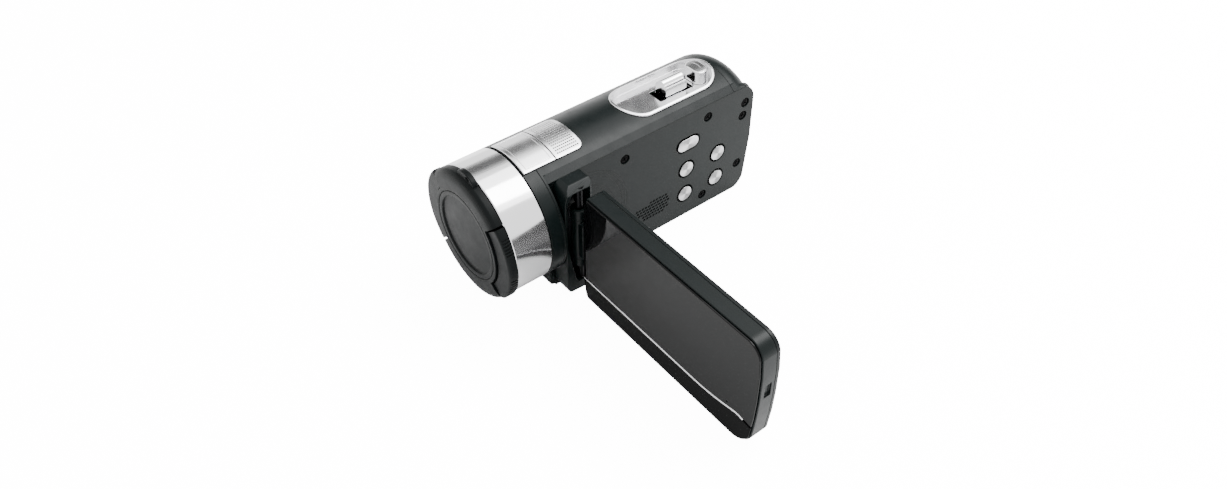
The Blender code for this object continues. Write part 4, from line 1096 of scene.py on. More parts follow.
@dataclass
class SideControls(SubAssembly):
    """Turned buttons in the side panel and the screws that hold it."""

    KEYS = {
        "button_oval": "oval_key",
        "button_upper": "upper_key",
        "button_lower": "lower_key",
        "button_rear_upper": "rear_upper_key",
        "button_rear_lower": "rear_lower_key",
    }
    flange: float = 1.3
    flange_depth: float = 1.3
    slack: float = 0.12

    def key(self, node: str) -> None:
        """Build one button, crowned, with its retaining flange behind the panel."""
        box = Extent.of(node)
        centre = (box.middle.y, box.middle.z)
        back, face = box.low.x, box.high.x
        half = (box.size.y / 2 - self.flange - self.slack, box.size.z / 2 - self.flange - self.slack)
        if node == "button_oval":
            solid = Solid.extruded(oblong(centre, half, 20), Axis.X, back + 0.4, face)
            solid.bevel(0.35, 4, 40.0, lambda middle: middle.x > face - 0.1)
            skirt = oblong(centre, (box.size.y / 2, box.size.z / 2))
            solid.add(Solid.extruded(skirt, Axis.X, back, back + self.flange_depth))
        else:
            radius = half[0]
            outer = box.size.y / 2
            shoulder = back + self.flange_depth
            profile = [(0.0, back), (outer, back), (outer, shoulder), (radius, shoulder)]
            profile += [(radius, face - 0.45)]
            profile += arc((radius - 0.35, face - 0.45), 0.35, 0.0, 80.0, 5)
            profile += [(radius * 0.6, face - 0.02), (0.0, face)]
            solid = Solid.turned(profile, Axis.X, centre, 72)
        finish = Spun(f"turned_{node}", (0.0, *centre))
        Piece(f"{node}_cap", self.KEYS[node], "brushed", (node,)).make(solid, finish)

    def screw(self, number: int) -> None:
        """Build one cross-head screw."""
        node = f"side_screw_{number}"
        box = Extent.of(node)
        y, z = box.middle.y, box.middle.z
        head = box.high.x
        profile = [(0.0, box.low.x), (0.8, box.low.x), (0.8, head - 0.6), (1.7, head - 0.6), (1.7, head - 0.28)]
        profile += [(1.55, head - 0.1), (1.2, head), (0.0, head + 0.03)]
        solid = Solid.turned(profile, Axis.X, (y, z), 40)
        arms = [Solid.block((head - 0.42, head + 1.0), (y - 1.05, y + 1.05), (z - 0.17, z + 0.17))]
        arms.append(Solid.block((head - 0.42, head + 1.0), (y - 0.17, y + 0.17), (z - 1.05, z + 1.05)))
        cross = arms[0].add(arms[1]).turn(18.0 * number, Axis.X, Vector((head, y, z)))
        Piece(f"cross_screw_{number}", "body", "black_matte", (node,)).make(solid.cut(cross), INKY_BLACK)

    def build(self) -> None:
        """Build the buttons, the screws and the loudspeaker's look."""
        for node in self.KEYS:
            self.key(node)
        for number in range(1, 7):
            self.screw(number)
        self.redress("speaker", DEEP_BLACK)


# --- Top --------------------------------------------------------------------------------------


@dataclass
class TopTrim(SubAssembly):
    """The bright plate behind the barrel and the microphone's perforated plate."""

    rise: float = 0.5
    depth: float = 0.6
    holes: tuple[int, int] = (15, 11)
    hole_r: float = 0.32

    @staticmethod
    def band(radii: Span, angles: Span, reach: Span) -> Solid:
        """Part of a ring about the lens axis, between two angles from the top, along Y."""
        low, high = 90.0 - angles[1], 90.0 - angles[0]
        outline = arc(LENS_AXIS, radii[1], low, high, 36) + arc(LENS_AXIS, radii[0], high, low, 36)
        return Solid.extruded(outline, Axis.Y, *reach)

    @staticmethod
    def angles() -> Span:
        """The two angles from the top that the plates span."""
        box = Extent.of("top_trim_plate")
        outer = box.high.z - AXIS_Z
        return math.degrees(math.asin(box.low.x / outer)), math.degrees(math.asin(box.high.x / outer))

    @classmethod
    def plan(cls, grow: float, front: float, rear: float, corner: float) -> Solid:
        """The plates' plan as an upright prism, rounded at its rear corners."""
        box = Extent.of("microphone_grille")
        low, high = (box.low.x - grow, front), (box.high.x + grow, rear + grow)
        return Solid.extruded(rounded(low, high, (0.05, 0.05, corner, corner)), Axis.Z, 40.0, 70.0)

    @classmethod
    def seat(cls) -> Solid:
        """The recess that both plates lie in, with the microphone's opening."""
        low, high = cls.angles()
        grille, plate = Extent.of("microphone_grille"), Extent.of("top_trim_plate")
        reach = (plate.low.y - 4.0, grille.high.y + 0.15)
        seat = cls.band((BODY_R - 0.9, BODY_R + 3.0), (low - 0.4, high + 0.4), reach)
        seat.keep(cls.plan(0.16, plate.low.y - 6.0, grille.high.y, 2.75))
        return seat.add(Solid.extruded(circle((0.0, -33.0), 2.6, 32), Axis.Z, 45.0, 60.0))

    def plate(self) -> Solid:
        """The bright plate with a bevelled border and fine engraved lines."""
        box = Extent.of("top_trim_plate")
        low, high = self.angles()
        plate = self.band((BODY_R - self.depth, BODY_R + self.rise), (low, high), (box.low.y, box.high.y))
        plate.bevel(0.28, 3, 50.0, lambda middle: math.hypot(middle.x, middle.z - AXIS_Z) > BODY_R)
        lines = []
        radii = (BODY_R + self.rise - 0.09, BODY_R + self.rise + 1.0)
        for place in (box.low.y + 1.5, box.high.y - 1.5):
            lines.append(self.band(radii, (low + 3.2, high - 3.2), (place, place + 0.14)))
        for place in (low + 2.9, high - 3.2):
            lines.append(self.band(radii, (place, place + 0.32), (box.low.y + 1.5, box.high.y - 1.36)))
        return plate.cut(*lines)

    def grille(self) -> Solid:
        """The perforated plate over the microphone."""
        box = Extent.of("microphone_grille")
        low, high = self.angles()
        plate = self.band((BODY_R - self.depth, BODY_R + self.rise), (low, high), (box.low.y, box.high.y))
        plate.keep(self.plan(0.0, box.low.y - 1.0, box.high.y, 2.6))
        columns, rows = self.holes
        middle = (low + high) / 2
        reach_y = box.size.y - 3.2
        drills = []
        for column in range(columns):
            turn = middle + (column - (columns - 1) / 2) * (high - low - 8.0) / (columns - 1)
            for row in range(rows):
                y = box.low.y + 1.6 + reach_y * row / (rows - 1)
                x, z = polar(BODY_R + self.rise, turn)
                drill = Solid.extruded(circle((x, y), self.hole_r, 8), Axis.Z, z - 2.0, z + 0.6)
                drills.append(drill)
        return plate.cut(Solid.merged(drills))

    def build(self) -> None:
        """Build both plates and dress the capsule under them."""
        plate = Piece("top_plate", "body", "chrome", ("top_trim_plate",))
        plate.make(self.plate(), SATIN_CHROME)
        grille = Piece("microphone_plate", "body", "chrome", ("microphone_grille",))
        grille.make(self.grille(), SATIN_CHROME)
        self.redress("microphone", DEEP_BLACK)


@dataclass
class TopControls(SubAssembly):
    """The oval deck, the zoom lever and the shutter button."""

    rim_rise: float = 0.55
    border: float = 1.15
    line: float = 0.22
    slot_x: Span = (-3.6, 3.6)
    slot_y: Span = (13.5, 29.5)

    @staticmethod
    def stadium(grow: float) -> list[Point]:
        """The deck's plan outline (x, y), grown by a margin."""
        box = Extent.of("control_deck")
        half = box.size.x / 2
        middle = (box.middle.x, box.middle.y)
        return oblong(middle, (half + grow, box.size.y / 2 + grow), 28)

    def upright(self, outline: Sequence[Point], radius: float, low: float = 50.0) -> Solid:
        """An upright prism whose top is rounded like the body, at a radius about the lens axis."""
        solid = Solid.extruded(outline, Axis.Z, low, 62.0)
        return solid.keep(Solid.extruded(circle(LENS_AXIS, radius, 180), Axis.Y, -20.0, 60.0))

    def deck(self) -> Solid:
        """The rim round a flat floor, with the openings of what moves."""
        deck = self.upright(self.stadium(0.0), BODY_R + self.rim_rise)
        deck.bevel(0.22, 3, 50.0, lambda middle: middle.z > 52.0)
        deck.cut(Solid.extruded(self.stadium(self.line - self.border), Axis.Z, 51.0, 62.0))
        low, high = (self.slot_x[0], self.slot_y[0]), (self.slot_x[1], self.slot_y[1])
        slot = Solid.extruded(rounded(low, high, (0.6,) * 4), Axis.Z, 40.0, 62.0)
        button = Extent.of("photo_button")
        hole = oblong((button.middle.x, button.middle.y), (4.6 + 0.22, 3.0 + 0.22))
        return deck.cut(slot, Solid.extruded(hole, Axis.Z, 40.0, 62.0))

    def lever(self) -> Solid:
        """The zoom lever: a ridge beside a flat, on a wide foot."""
        box = Extent.of("zoom_lever")
        front, rear = box.low.y, box.high.y
        outline = [(-3.0, 49.0), (3.0, 49.0), (3.0, 54.9), (2.7, 55.2), (1.5, 55.25)]
        outline += arc((-0.4, 54.85), 1.95, 12.0, 168.0, 18)
        outline += [(-2.7, 55.2), (-3.0, 54.9)]
        lever = Solid.extruded(outline, Axis.Y, front, rear).bevel(0.3, 3, 60.0, lambda middle: middle.z > 52.0)
        foot = Solid.block((-4.6, 4.6), (front + 0.5, rear - 0.5), (box.low.z, 49.4)).bevel(0.3)
        return lever.add(foot)

    def shutter(self) -> Solid:
        """The shutter button, crowned like the body, with an engraved arc."""
        box = Extent.of("photo_button")
        centre = (box.middle.x, box.middle.y)
        half = (box.size.x / 2 - 1.0, box.size.y / 2 - 1.0)
        button = self.upright(oblong(centre, half, 24), BODY_R + 1.45, 48.9)
        button.bevel(0.45, 4, 50.0, lambda middle: middle.z > 54.0)
        arc_out = arc((centre[0], centre[1] - 5.2), 6.1, 55.0, 125.0, 20)
        arc_in = arc((centre[0], centre[1] - 5.2), 5.95, 125.0, 55.0, 20)
        mark = Solid.extruded(arc_out + arc_in, Axis.Z, 56.48, 60.0)
        flange = Solid.extruded(oblong(centre, (half[0] + 1.0, half[1] + 1.0)), Axis.Z, box.low.z, 49.5)
        return button.cut(mark).add(flange)

    def build(self) -> None:
        """Build the deck and what moves in it."""
        Piece("deck", "body", "chrome", ("control_deck",)).make(self.deck(), SATIN_CHROME)
        Piece("zoom_slider", "zoom", "chrome", ("zoom_lever",)).make(self.lever(), CHROME)
        Piece("shutter_key", "photo", "chrome", ("photo_button",)).make(self.shutter(), CHROME)


# --- Screen -----------------------------------------------------------------------------------


@dataclass
class Hinge(SubAssembly):
    """The knuckle on its pin and the shaft that the screen tilts on."""

    swing: Point = (20.6, -37.4)
    knuckle_r: float = 3.2
    arm_end: float = 25.6
    arm_half: float = 8.0
    tilt: Point = (-36.7, 26.1)

    def knuckle(self) -> Solid:
        """The ringed barrel and its arm."""
        box = Extent.of("hinge_knuckle")
        low, high = box.low.z, box.high.z
        r = self.knuckle_r
        profile = [(1.8, low), (r - 0.4, low), (r, low + 0.4)]
        for place in (low + 4.0, high - 4.0):
            profile += [(r, place - 0.15), (r - 0.3, place), (r, place + 0.15)]
        profile += [(r, high - 0.4), (r - 0.4, high), (1.8, high)]
        barrel = Solid.turned(profile, Axis.Z, self.swing, 72)
        arm_low, arm_high = self.tilt[1] - self.arm_half, self.tilt[1] + self.arm_half
        depth = (self.swing[1] - 2.2, self.swing[1] + 3.0)
        arm = Solid.block((self.swing[0], self.arm_end), depth, (arm_low, arm_high))
        arm.bevel(0.6, 3)
        arm.cut(Solid.extruded(circle(self.swing, 1.8, 32), Axis.Z, 0.0, 60.0))
        return barrel.add(arm).cut(Solid.extruded(circle(self.tilt, 2.3, 32), Axis.X, 23.0, 30.0))

    def shaft(self) -> Solid:
        """The tilting shaft with its chamfered ends and a retaining groove."""
        box = Extent.of("tilt_shaft")
        r = box.size.z / 2
        profile = [(0.0, box.low.x), (r - 0.3, box.low.x), (r, box.low.x + 0.3), (r, 26.0), (r - 0.3, 26.0)]
        profile += [(r - 0.3, 26.4), (r, 26.4), (r, box.high.x - 0.3), (r - 0.3, box.high.x), (0.0, box.high.x)]
        return Solid.turned(profile, Axis.X, self.tilt, 56)

    def pin(self) -> Solid:
        """The upright pin with domed ends."""
        box = Extent.of("hinge_pin")
        r = box.size.x / 2
        profile = [(0.0, box.low.z), (r - 0.4, box.low.z), (r, box.low.z + 0.4)]
        profile += [(r, box.high.z - 0.4), (r - 0.4, box.high.z), (0.0, box.high.z)]
        return Solid.turned(profile, Axis.Z, self.swing, 48)

    def build(self) -> None:
        """Build the three pieces."""
        Piece("swing_knuckle", "swing_arm", "black_matte", ("hinge_knuckle",)).make(self.knuckle(), SATIN_BLACK)
        Piece("screen_shaft", "swing_arm", "steel", ("tilt_shaft",)).make(self.shaft(), STEEL)
        Piece("swing_pin", "body", "steel", ("hinge_pin",)).make(self.pin(), BLACKED_STEEL)


@dataclass
class ScreenPanel(SubAssembly):
    """The swing-out panel: a moulded tray, glossy plates, a bright strip and the display."""

    front: float = -40.8
    rear: float = -32.6
    plate_thickness: float = 0.6
    near_edge: tuple[Point, ...] = (
        (29.4, 50.2),
        (28.5, 49.6),
        (27.9, 47.8),
        (27.4, 45.2),
        (26.9, 39.5),
        (26.6, 32.0),
        (26.42, 24.0),
        (26.42, 14.0),
        (26.7, 9.2),
        (27.2, 5.3),
        (27.8, 3.2),
        (29.0, 2.0),
    )
    strip: tuple[Point, ...] = (
        (26.9, 12.0),
        (60.0, 12.0),
        (86.0, 12.02),
        (89.6, 12.1),
        (93.0, 12.35),
        (96.5, 12.8),
        (100.0, 13.4),
        (103.0, 14.0),
        (105.4, 14.45),
        (107.2, 14.5),
        (108.6, 14.1),
    )
    strip_half: float = 0.36
    screen_x: Span = (39.5, 106.5)
    screen_z: Span = (7.1, 45.1)
    tilt: Point = (-36.7, 26.1)

    def outline(self) -> list[Point]:
        """The panel's outline (x, z), counter-clockwise."""
        low_z, high_z, far = 2.0, 50.2, 113.7
        low_r, high_r = 8.4, 6.6
        points = list(self.near_edge)
        points += arc((far - 0.8 - low_r, low_z + low_r), low_r, 270.0, 345.0, 20)
        points += [(far - 0.25, low_z + 16.0), (far, low_z + 25.0), (far - 0.2, high_z - 12.0)]
        points += arc((far - 0.8 - high_r, high_z - high_r), high_r, 12.0, 90.0, 20)
        return points

    def prism(self, inset: float, front: float, rear: float) -> Solid:
        """The panel's outline, drawn in, between two depths."""
        return Solid.extruded(shrunk(self.outline(), inset), Axis.Y, front, rear)

    def along_strip(self, low: float, high: float) -> list[Point]:
        """An outline that follows the strip's line from one offset to another above it."""
        start, end = (20.0, self.strip[0][1]), (120.0, 12.6)
        line = [start, *self.strip, end]
        return [(x, z + low) for x, z in line] + [(x, z + high) for x, z in reversed(line)]

    def plates(self) -> tuple[Solid, Solid]:
        """The glossy plate above the strip and the band below it."""
        reach = (self.front, self.front + self.plate_thickness)
        upper, lower = (self.prism(0.6, *reach) for _ in range(2))
        gap = self.strip_half + 0.08
        upper.keep(Solid.extruded(self.along_strip(gap, 60.0), Axis.Y, -50.0, -30.0))
        lower.keep(Solid.extruded(self.along_strip(-60.0, -gap), Axis.Y, -50.0, -30.0))
        for plate in (upper, lower):
            plate.bevel(0.2, 3, 40.0, lambda middle: middle.y < self.front + 0.05)
        lamp = Solid.extruded(circle((101.5, 15.9), 0.45, 24), Axis.Y, self.front - 1.0, self.front + 0.3)
        return upper.cut(lamp), lower

    def trim(self) -> Solid:
        """The bright strip with its hooked end."""
        line = [pair for pair in self.strip]
        half = self.strip_half
        upper = [(x, z + half) for x, z in line]
        lower = [(x, z - half) for x, z in line]
        outline = lower + arc((line[-1][0], line[-1][1]), half, -90.0, 90.0, 6)[1:-1] + list(reversed(upper))
        strip = Solid.extruded(outline, Axis.Y, self.front - 0.15, self.front + 0.6)
        return strip.bevel(0.12, 2, 50.0, lambda middle: middle.y < self.front)

    def tray(self) -> Solid:
        """The moulded tray with its rounded edges, shaft hole and a latch notch at the far end."""
        tray = self.prism(0.0, self.front + 0.85, self.rear - 1.65).bevel(0.3, 3, 50.0)
        tray.cut(self.prism(1.6, self.front + 2.2, self.rear + 1.0))
        tray.cut(Solid.extruded(circle(self.tilt, 2.3, 32), Axis.X, 20.0, 34.0))
        notch = Solid.block((112.9, 116.0), (-38.4, -35.6), (27.6, 33.4)).bevel(0.3)
        return tray.cut(notch)

    def bezel(self) -> Solid:
        """The frame round the display, with a sloping lip."""
        frame = self.prism(0.0, self.rear - 1.6, self.rear)
        frame.bevel(0.55, 4, 50.0, lambda middle: middle.y > self.rear - 0.1)
        frame.cut(Solid.extruded(self.window(0.0), Axis.Y, -40.0, -20.0))
        frame.bevel(0.3, 3, 50.0, lambda middle: middle.y > self.rear - 0.1)
        feet = [Solid.turned([(0.0, -34.0), (1.1, -34.0), (1.1, -32.35), (0.8, -32.2), (0.0, -32.15)], Axis.Y, place, 32)
                for place in ((108.9, 42.0), (108.9, 9.0))]
        return frame.add(*feet)

    def window(self, grow: float) -> list[Point]:
        """The display's outline (x, z), grown by a margin."""
        (low_x, high_x), (low_z, high_z) = self.screen_x, self.screen_z
        return rounded((low_x - grow, low_z - grow), (high_x + grow, high_z + grow), (1.0,) * 4)

    def build(self) -> None:
        """Build the panel's seven pieces."""
        upper, lower = self.plates()
        Piece("screen_tray", "screen", "black_satin", ("lcd_housing",)).make(self.tray(), SATIN_BLACK)
        Piece("screen_plate", "screen", "black_gloss", ("lcd_plate",)).make(upper, GLOSS_BLACK)
        Piece("screen_lower_plate", "screen", "black_gloss", ("lcd_lower_plate",)).make(lower, INKY_BLACK)
        Piece("screen_trim", "screen", "chrome", ("lcd_trim_strip",)).make(self.trim(), CHROME)
        Piece("screen_bezel", "screen", "black_satin", ("lcd_bezel",)).make(self.bezel(), SATIN_BLACK)
        glass = Solid.extruded(self.window(-0.12), Axis.Y, self.rear - 1.5, self.rear - 0.45).bevel(0.15, 2, 50.0)
        Piece("screen_window", "screen", "glass", ("lcd_window",)).make(glass, SCREEN_GLASS)
        self.redress("lcd_module", GREY_MOULDED)


# --- Lens and cap -----------------------------------------------------------------------------


@dataclass
class Optics(SubAssembly):
    """The bright barrel, the tube it sits on, the bezel and both lenses."""

    def barrel(self) -> Solid:
        """The chrome sleeve with softly rounded ends."""
        front, rear = BARREL.low.y, BARREL.high.y
        inner = 22.5
        profile = [(inner, front + 0.4), (inner + 0.4, front), (BODY_R - 0.5, front)]
        profile += arc((BODY_R - 0.5, front + 0.5), 0.5, -80.0, 0.0, 5)
        profile += [(BODY_R, rear - 0.25), (BODY_R - 0.25, rear), (inner, rear)]
        ordered = [(radius, place) for radius, place in profile]
        return Solid.turned(ordered, Axis.Y, LENS_AXIS, 180)

    def ring(self, profile: Sequence[Point], steps: int = 128) -> Solid:
        """A solid turned about the lens axis."""
        return Solid.turned(profile, Axis.Y, LENS_AXIS, steps)

    def lens(self, radius: float, front: float, rear: float, bulge: float) -> Solid:
        """A lens with a domed front and a ground edge."""
        profile = [(0.0, rear), (radius - 0.2, rear), (radius, rear - 0.2), (radius, front + 0.1)]
        for step in range(1, 16):
            share = 1.0 - step / 16
            profile.append((radius * share, front - bulge * (1.0 - share * share)))
        profile.append((0.0, front - bulge))
        return self.ring(profile, 96)

    def build(self) -> None:
        """Build the barrel and everything inside it."""
        Piece("barrel_sleeve", "body", "chrome", ("lens_barrel",)).make(self.barrel(), CHROME)
        core = [(19.5, -64.4), (21.9, -64.4), (22.2, -64.1), (22.2, -45.6), (19.5, -45.6)]
        Piece("barrel_tube", "body", "black_matte", ("barrel_core",)).make(self.ring(core), MATT_BLACK)
        bezel = [(12.3, -57.0), (19.2, -57.0), (19.2, -63.9), (18.9, -64.2), (18.4, -64.2)]
        for step in range(1, 8):
            radius, place = 18.4 - 0.6 * step, -64.2 + 0.6 * step
            bezel += [(radius + 0.35, place - 0.05), (radius, place)]
        bezel += [(13.6, -59.4), (12.3, -59.4)]
        Piece("lens_cone", "body", "black_matte", ("lens_bezel",)).make(self.ring(bezel), DEEP_BLACK)
        Piece("front_glass", "body", "glass", ("front_lens",)).make(self.lens(12.0, -59.0, -57.0, 1.6), LENS_GLASS)
        Piece("rear_glass", "body", "glass", ("rear_lens",)).make(self.lens(9.0, -40.0, -38.0, 0.8), LENS_GLASS)
        tube = [(9.4, -56.6), (19.0, -56.6), (19.0, -54.6), (12.4, -54.6), (12.4, -30.0), (9.4, -30.0)]
        Piece("optics_tube", "body", "black_matte", ("lens_tube",)).make(self.ring(tube), MATT_BLACK)
        self.redress("sensor_module", CIRCUIT)


@dataclass
class LensCap(SubAssembly):
    """The clip-on cap: a rounded rim, rings, two ribbed levers on springs and a tether lug."""

    low: float = -71.5
    high: float = -67.3
    lever_arc_r: float = 22.3
    lever_r: float = 26.7
    lever_inner_r: float = 19.4
    slot_r: float = 18.7
    half_angle: float = 39.0
    side_gap: float = 2.0
    upper_ribs: tuple[float, float, int] = (60.0, 2.4, 6)
    lower_ribs: tuple[float, float, int] = (96.0, 3.0, 9)

    def sector(self, radii: Span, half: float, reach: Span, side: int) -> Solid:
        """A ring sector centred on the +X or -X side."""
        middle = 0.0 if side > 0 else 180.0
        outline = arc(LENS_AXIS, radii[1], middle - half, middle + half, 40)
        outline += arc(LENS_AXIS, radii[0], middle + half, middle - half, 40)
        return Solid.extruded(outline, Axis.Y, *reach)

    def disc(self) -> Solid:
        """The cap's turned body with its lever slots, spring pockets and lug."""
        low, high = self.low, self.high
        r = BODY_R
        profile = [(0.0, high + 1.9), (21.6, high + 1.9), (21.6, high), (r - 0.15, high), (r, high - 0.15)]
        profile += [(r, high - 2.0), (r - 0.12, high - 2.5), (r - 0.4, high - 3.0), (r - 0.95, high - 3.5)]
        profile += [(r - 1.7, low + 0.4), (r - 2.6, low + 0.14), (r - 3.8, low + 0.02), (18.3, low), (17.5, low)]
        profile += [(17.3, low + 0.1), (17.2, low + 0.4), (17.0, low + 0.4), (16.9, low + 0.1), (16.6, low + 0.06)]
        profile += [(15.5, low + 0.1), (15.25, low + 0.2), (15.1, low + 0.65), (14.85, low + 0.7)]
        profile += [(8.0, low + 0.55), (0.0, low + 0.5)]
        cap = Solid.turned(profile, Axis.Y, LENS_AXIS, 180)
        for side in (1, -1):
            cap.cut(self.sector((self.slot_r, 40.0), self.half_angle + self.side_gap, (low - 1.0, high + 0.1), side))
            start, end = sorted((side * 13.7, side * 30.0))
            cap.cut(Solid.extruded(circle((-68.5, AXIS_Z), 1.3, 24), Axis.X, start, end))
        groove = [(23.93, -75.0), (24.07, -75.0), (24.07, low + 1.0), (23.93, low + 1.0)]
        seam = Solid.turned(groove, Axis.Y, LENS_AXIS, 180)
        wedge = Solid.extruded([LENS_AXIS, polar(40.0, 46.0), polar(40.0, 4.0)], Axis.Y, -76.0, -60.0)
        return cap.cut(seam.keep(wedge)).add(self.lug())

    def lug(self) -> Solid:
        """The oval lug with its eye."""
        centre = polar(BODY_R, 2.5)
        lug = Solid.extruded(ellipse(centre, (4.9, 2.6), -2.5, 64), Axis.Y, self.high - 2.2, self.high - 0.1)
        lug.bevel(0.35, 3, 50.0)
        eye = [(0.0, -90.0), (1.25, -90.0), (1.25, -69.55), (0.9, -69.2)]
        eye += [(0.9, -67.7), (1.25, -67.3), (1.25, -60.0), (0.0, -60.0)]
        return lug.cut(Solid.turned(eye, Axis.Y, (2.6, AXIS_Z + BODY_R + 0.9), 32))

    def lever(self, side: int) -> Solid:
        """A pinch lever with a bulged, ribbed outer face."""
        front, rear = self.low + 0.7, self.high - 0.2
        lever = self.sector((self.lever_inner_r, self.lever_r + 3.0), self.half_angle, (front - 1.0, rear), side)
        centre = (side * (self.lever_r - self.lever_arc_r), AXIS_Z)
        r = self.lever_arc_r
        profile = [(0.0, front), (r - 1.3, front), (r - 0.8, front + 0.08), (r - 0.3, front + 0.35), (r, front + 0.85)]
        profile += [(r, rear + 1.0), (0.0, rear + 1.0)]
        lever.keep(Solid.turned(profile, Axis.Y, centre, 180))
        ribs = []
        angles = [
            start + pitch * step for start, pitch, count in (self.upper_ribs, self.lower_ribs) for step in range(count)
        ]
        for angle in angles:
            turn = math.radians(90.0 - angle if side > 0 else 90.0 + angle)
            direction, across = Vector((math.cos(turn), math.sin(turn))), Vector((-math.sin(turn), math.cos(turn)))
            reach = self.reach_at(turn, side)
            start = Vector(LENS_AXIS) + direction * (reach - 0.5)
            corners = [start - across * 0.22, start + direction * 2.0 - across * 0.75]
            corners += [start + direction * 2.0 + across * 0.75, start + across * 0.22]
            ribs.append(Solid.extruded([tuple(corner) for corner in corners], Axis.Y, -75.0, -60.0))
        return lever.cut(Solid.merged(ribs))

    def reach_at(self, turn: float, side: int) -> float:
        """How far from the lens axis the lever's outer face lies in a direction."""
        offset = side * (self.lever_r - self.lever_arc_r)
        along = offset * math.cos(turn)
        return along + math.sqrt(along * along - offset * offset + self.lever_arc_r**2)

    def spring(self, node: str) -> Solid:
        """A coil of round wire between the cap and a lever."""
        box = Extent.of(node)
        turns, wire, mean = 5, 0.17, 0.8
        bm = bmesh.new()
        made = bmesh.ops.create_circle(bm, segments=10, radius=wire, cap_ends=True)
        bmesh.ops.rotate(bm, verts=made["verts"], cent=Vector(), matrix=Matrix.Rotation(math.pi / 2, 3, "X"))
        middle = box.middle
        start = Vector((box.low.x + wire, middle.y, middle.z + mean))
        bmesh.ops.translate(bm, verts=bm.verts, vec=start)
        length = box.size.x - 2 * wire
        bmesh.ops.spin(
            bm,
            geom=list(bm.verts) + list(bm.edges) + list(bm.faces),
            cent=middle,
            axis=Vector((1.0, 0.0, 0.0)),
            dvec=Vector((length / (turns * 24), 0.0, 0.0)),
            angle=math.tau * turns,
            steps=turns * 24,
        )
        return Solid(bm)

    def build(self) -> None:
        """Build the cap, its levers and its springs."""
        Piece("cap_disc", "cap", "black_matte", ("lens_cap",)).make(self.disc(), CAP_BLACK)
        for name, side in (("left", 1), ("right", -1)):
            lever = Piece(f"pinch_lever_{name}", f"cap_grip_{name}", "black_matte", (f"cap_lever_{name}",))
            lever.make(self.lever(side), CAP_BLACK)
            spring = Piece(f"coil_spring_{name}", "cap", "steel", (f"cap_spring_{name}",))
            spring.make(self.spring(f"cap_spring_{name}"), STEEL)


# --- Rear, grip side and inside ---------------------------------------------------------------


@dataclass
class RearControls(SubAssembly):
    """The record and power buttons, the status light and the socket flap."""

    flange: float = 1.3

    def key(self, node: str, dish: float) -> Solid:
        """A round button with a dished face and a flange behind the cover."""
        box = Extent.of(node)
        radius = box.size.x / 2 - self.flange
        back, face = box.low.y, box.high.y
        profile = [(0.0, back), (radius + self.flange, back), (radius + self.flange, back + 1.5), (radius, back + 1.5)]
        profile += [(radius, face - 0.6)] + arc((radius - 0.5, face - 0.55), 0.5, 0.0, 85.0, 6)
        for step in range(1, 9):
            share = 1.0 - step / 8
            profile.append(((radius - 0.6) * share, face - dish * (1.0 - share * share)))
        return Solid.turned(profile, Axis.Y, (box.middle.x, box.middle.z), 96)

    def flap(self) -> Solid:
        """The soft flap with a finger lip and a rolled hinge."""
        box = Extent.of("port_cover")
        half = box.size.y / 2
        outline = rounded((box.low.x, box.low.z), (box.high.x, box.high.z), (1.2,) * 4)
        flap = Solid.extruded(outline, Axis.Y, box.low.y, box.high.y)
        flap.bevel(0.35, 3, 50.0)
        ribs = [
            Solid.extruded(oblong((x, box.high.z - 2.6), (0.28, 1.5), 8), Axis.Y, box.high.y - 0.25, box.high.y + 1.0)
            for x in (-8.4, -7.2, -6.0, -4.8, -3.6)
        ]
        above = box.low.z + 2 * half
        roll = Solid.block((box.low.x - 1.0, box.high.x + 1.0), (box.high.y - 0.3, box.high.y + 1.0), (above, above + 0.4))
        return flap.cut(Solid.merged(ribs), roll)

    def build(self) -> None:
        """Build the rear controls."""
        for node, body, name in (("record_button", "record", "record_key"), ("power_button", "power", "power_key")):
            box = Extent.of(node)
            finish = Spun(f"turned_{name}", (box.middle.x, 0.0, box.middle.z), Axis.Y, roughness=0.22)
            Piece(name, body, "brushed", (node,)).make(self.key(node, 0.45), finish)
        box = Extent.of("status_light")
        profile = [(0.0, box.low.y), (0.9, box.low.y), (0.9, box.high.y - 0.3)]
        profile += [(0.6, box.high.y - 0.08), (0.0, box.high.y)]
        light = Solid.turned(profile, Axis.Y, (box.middle.x, box.middle.z), 32)
        Piece("status_lamp", "body", "light_pipe", ("status_light",)).make(light, RED_PIPE)
        Piece("socket_flap", "port_flap", "rubber", ("port_cover",)).make(self.flap(), RUBBER)
        self.redress("port_block", STEEL)


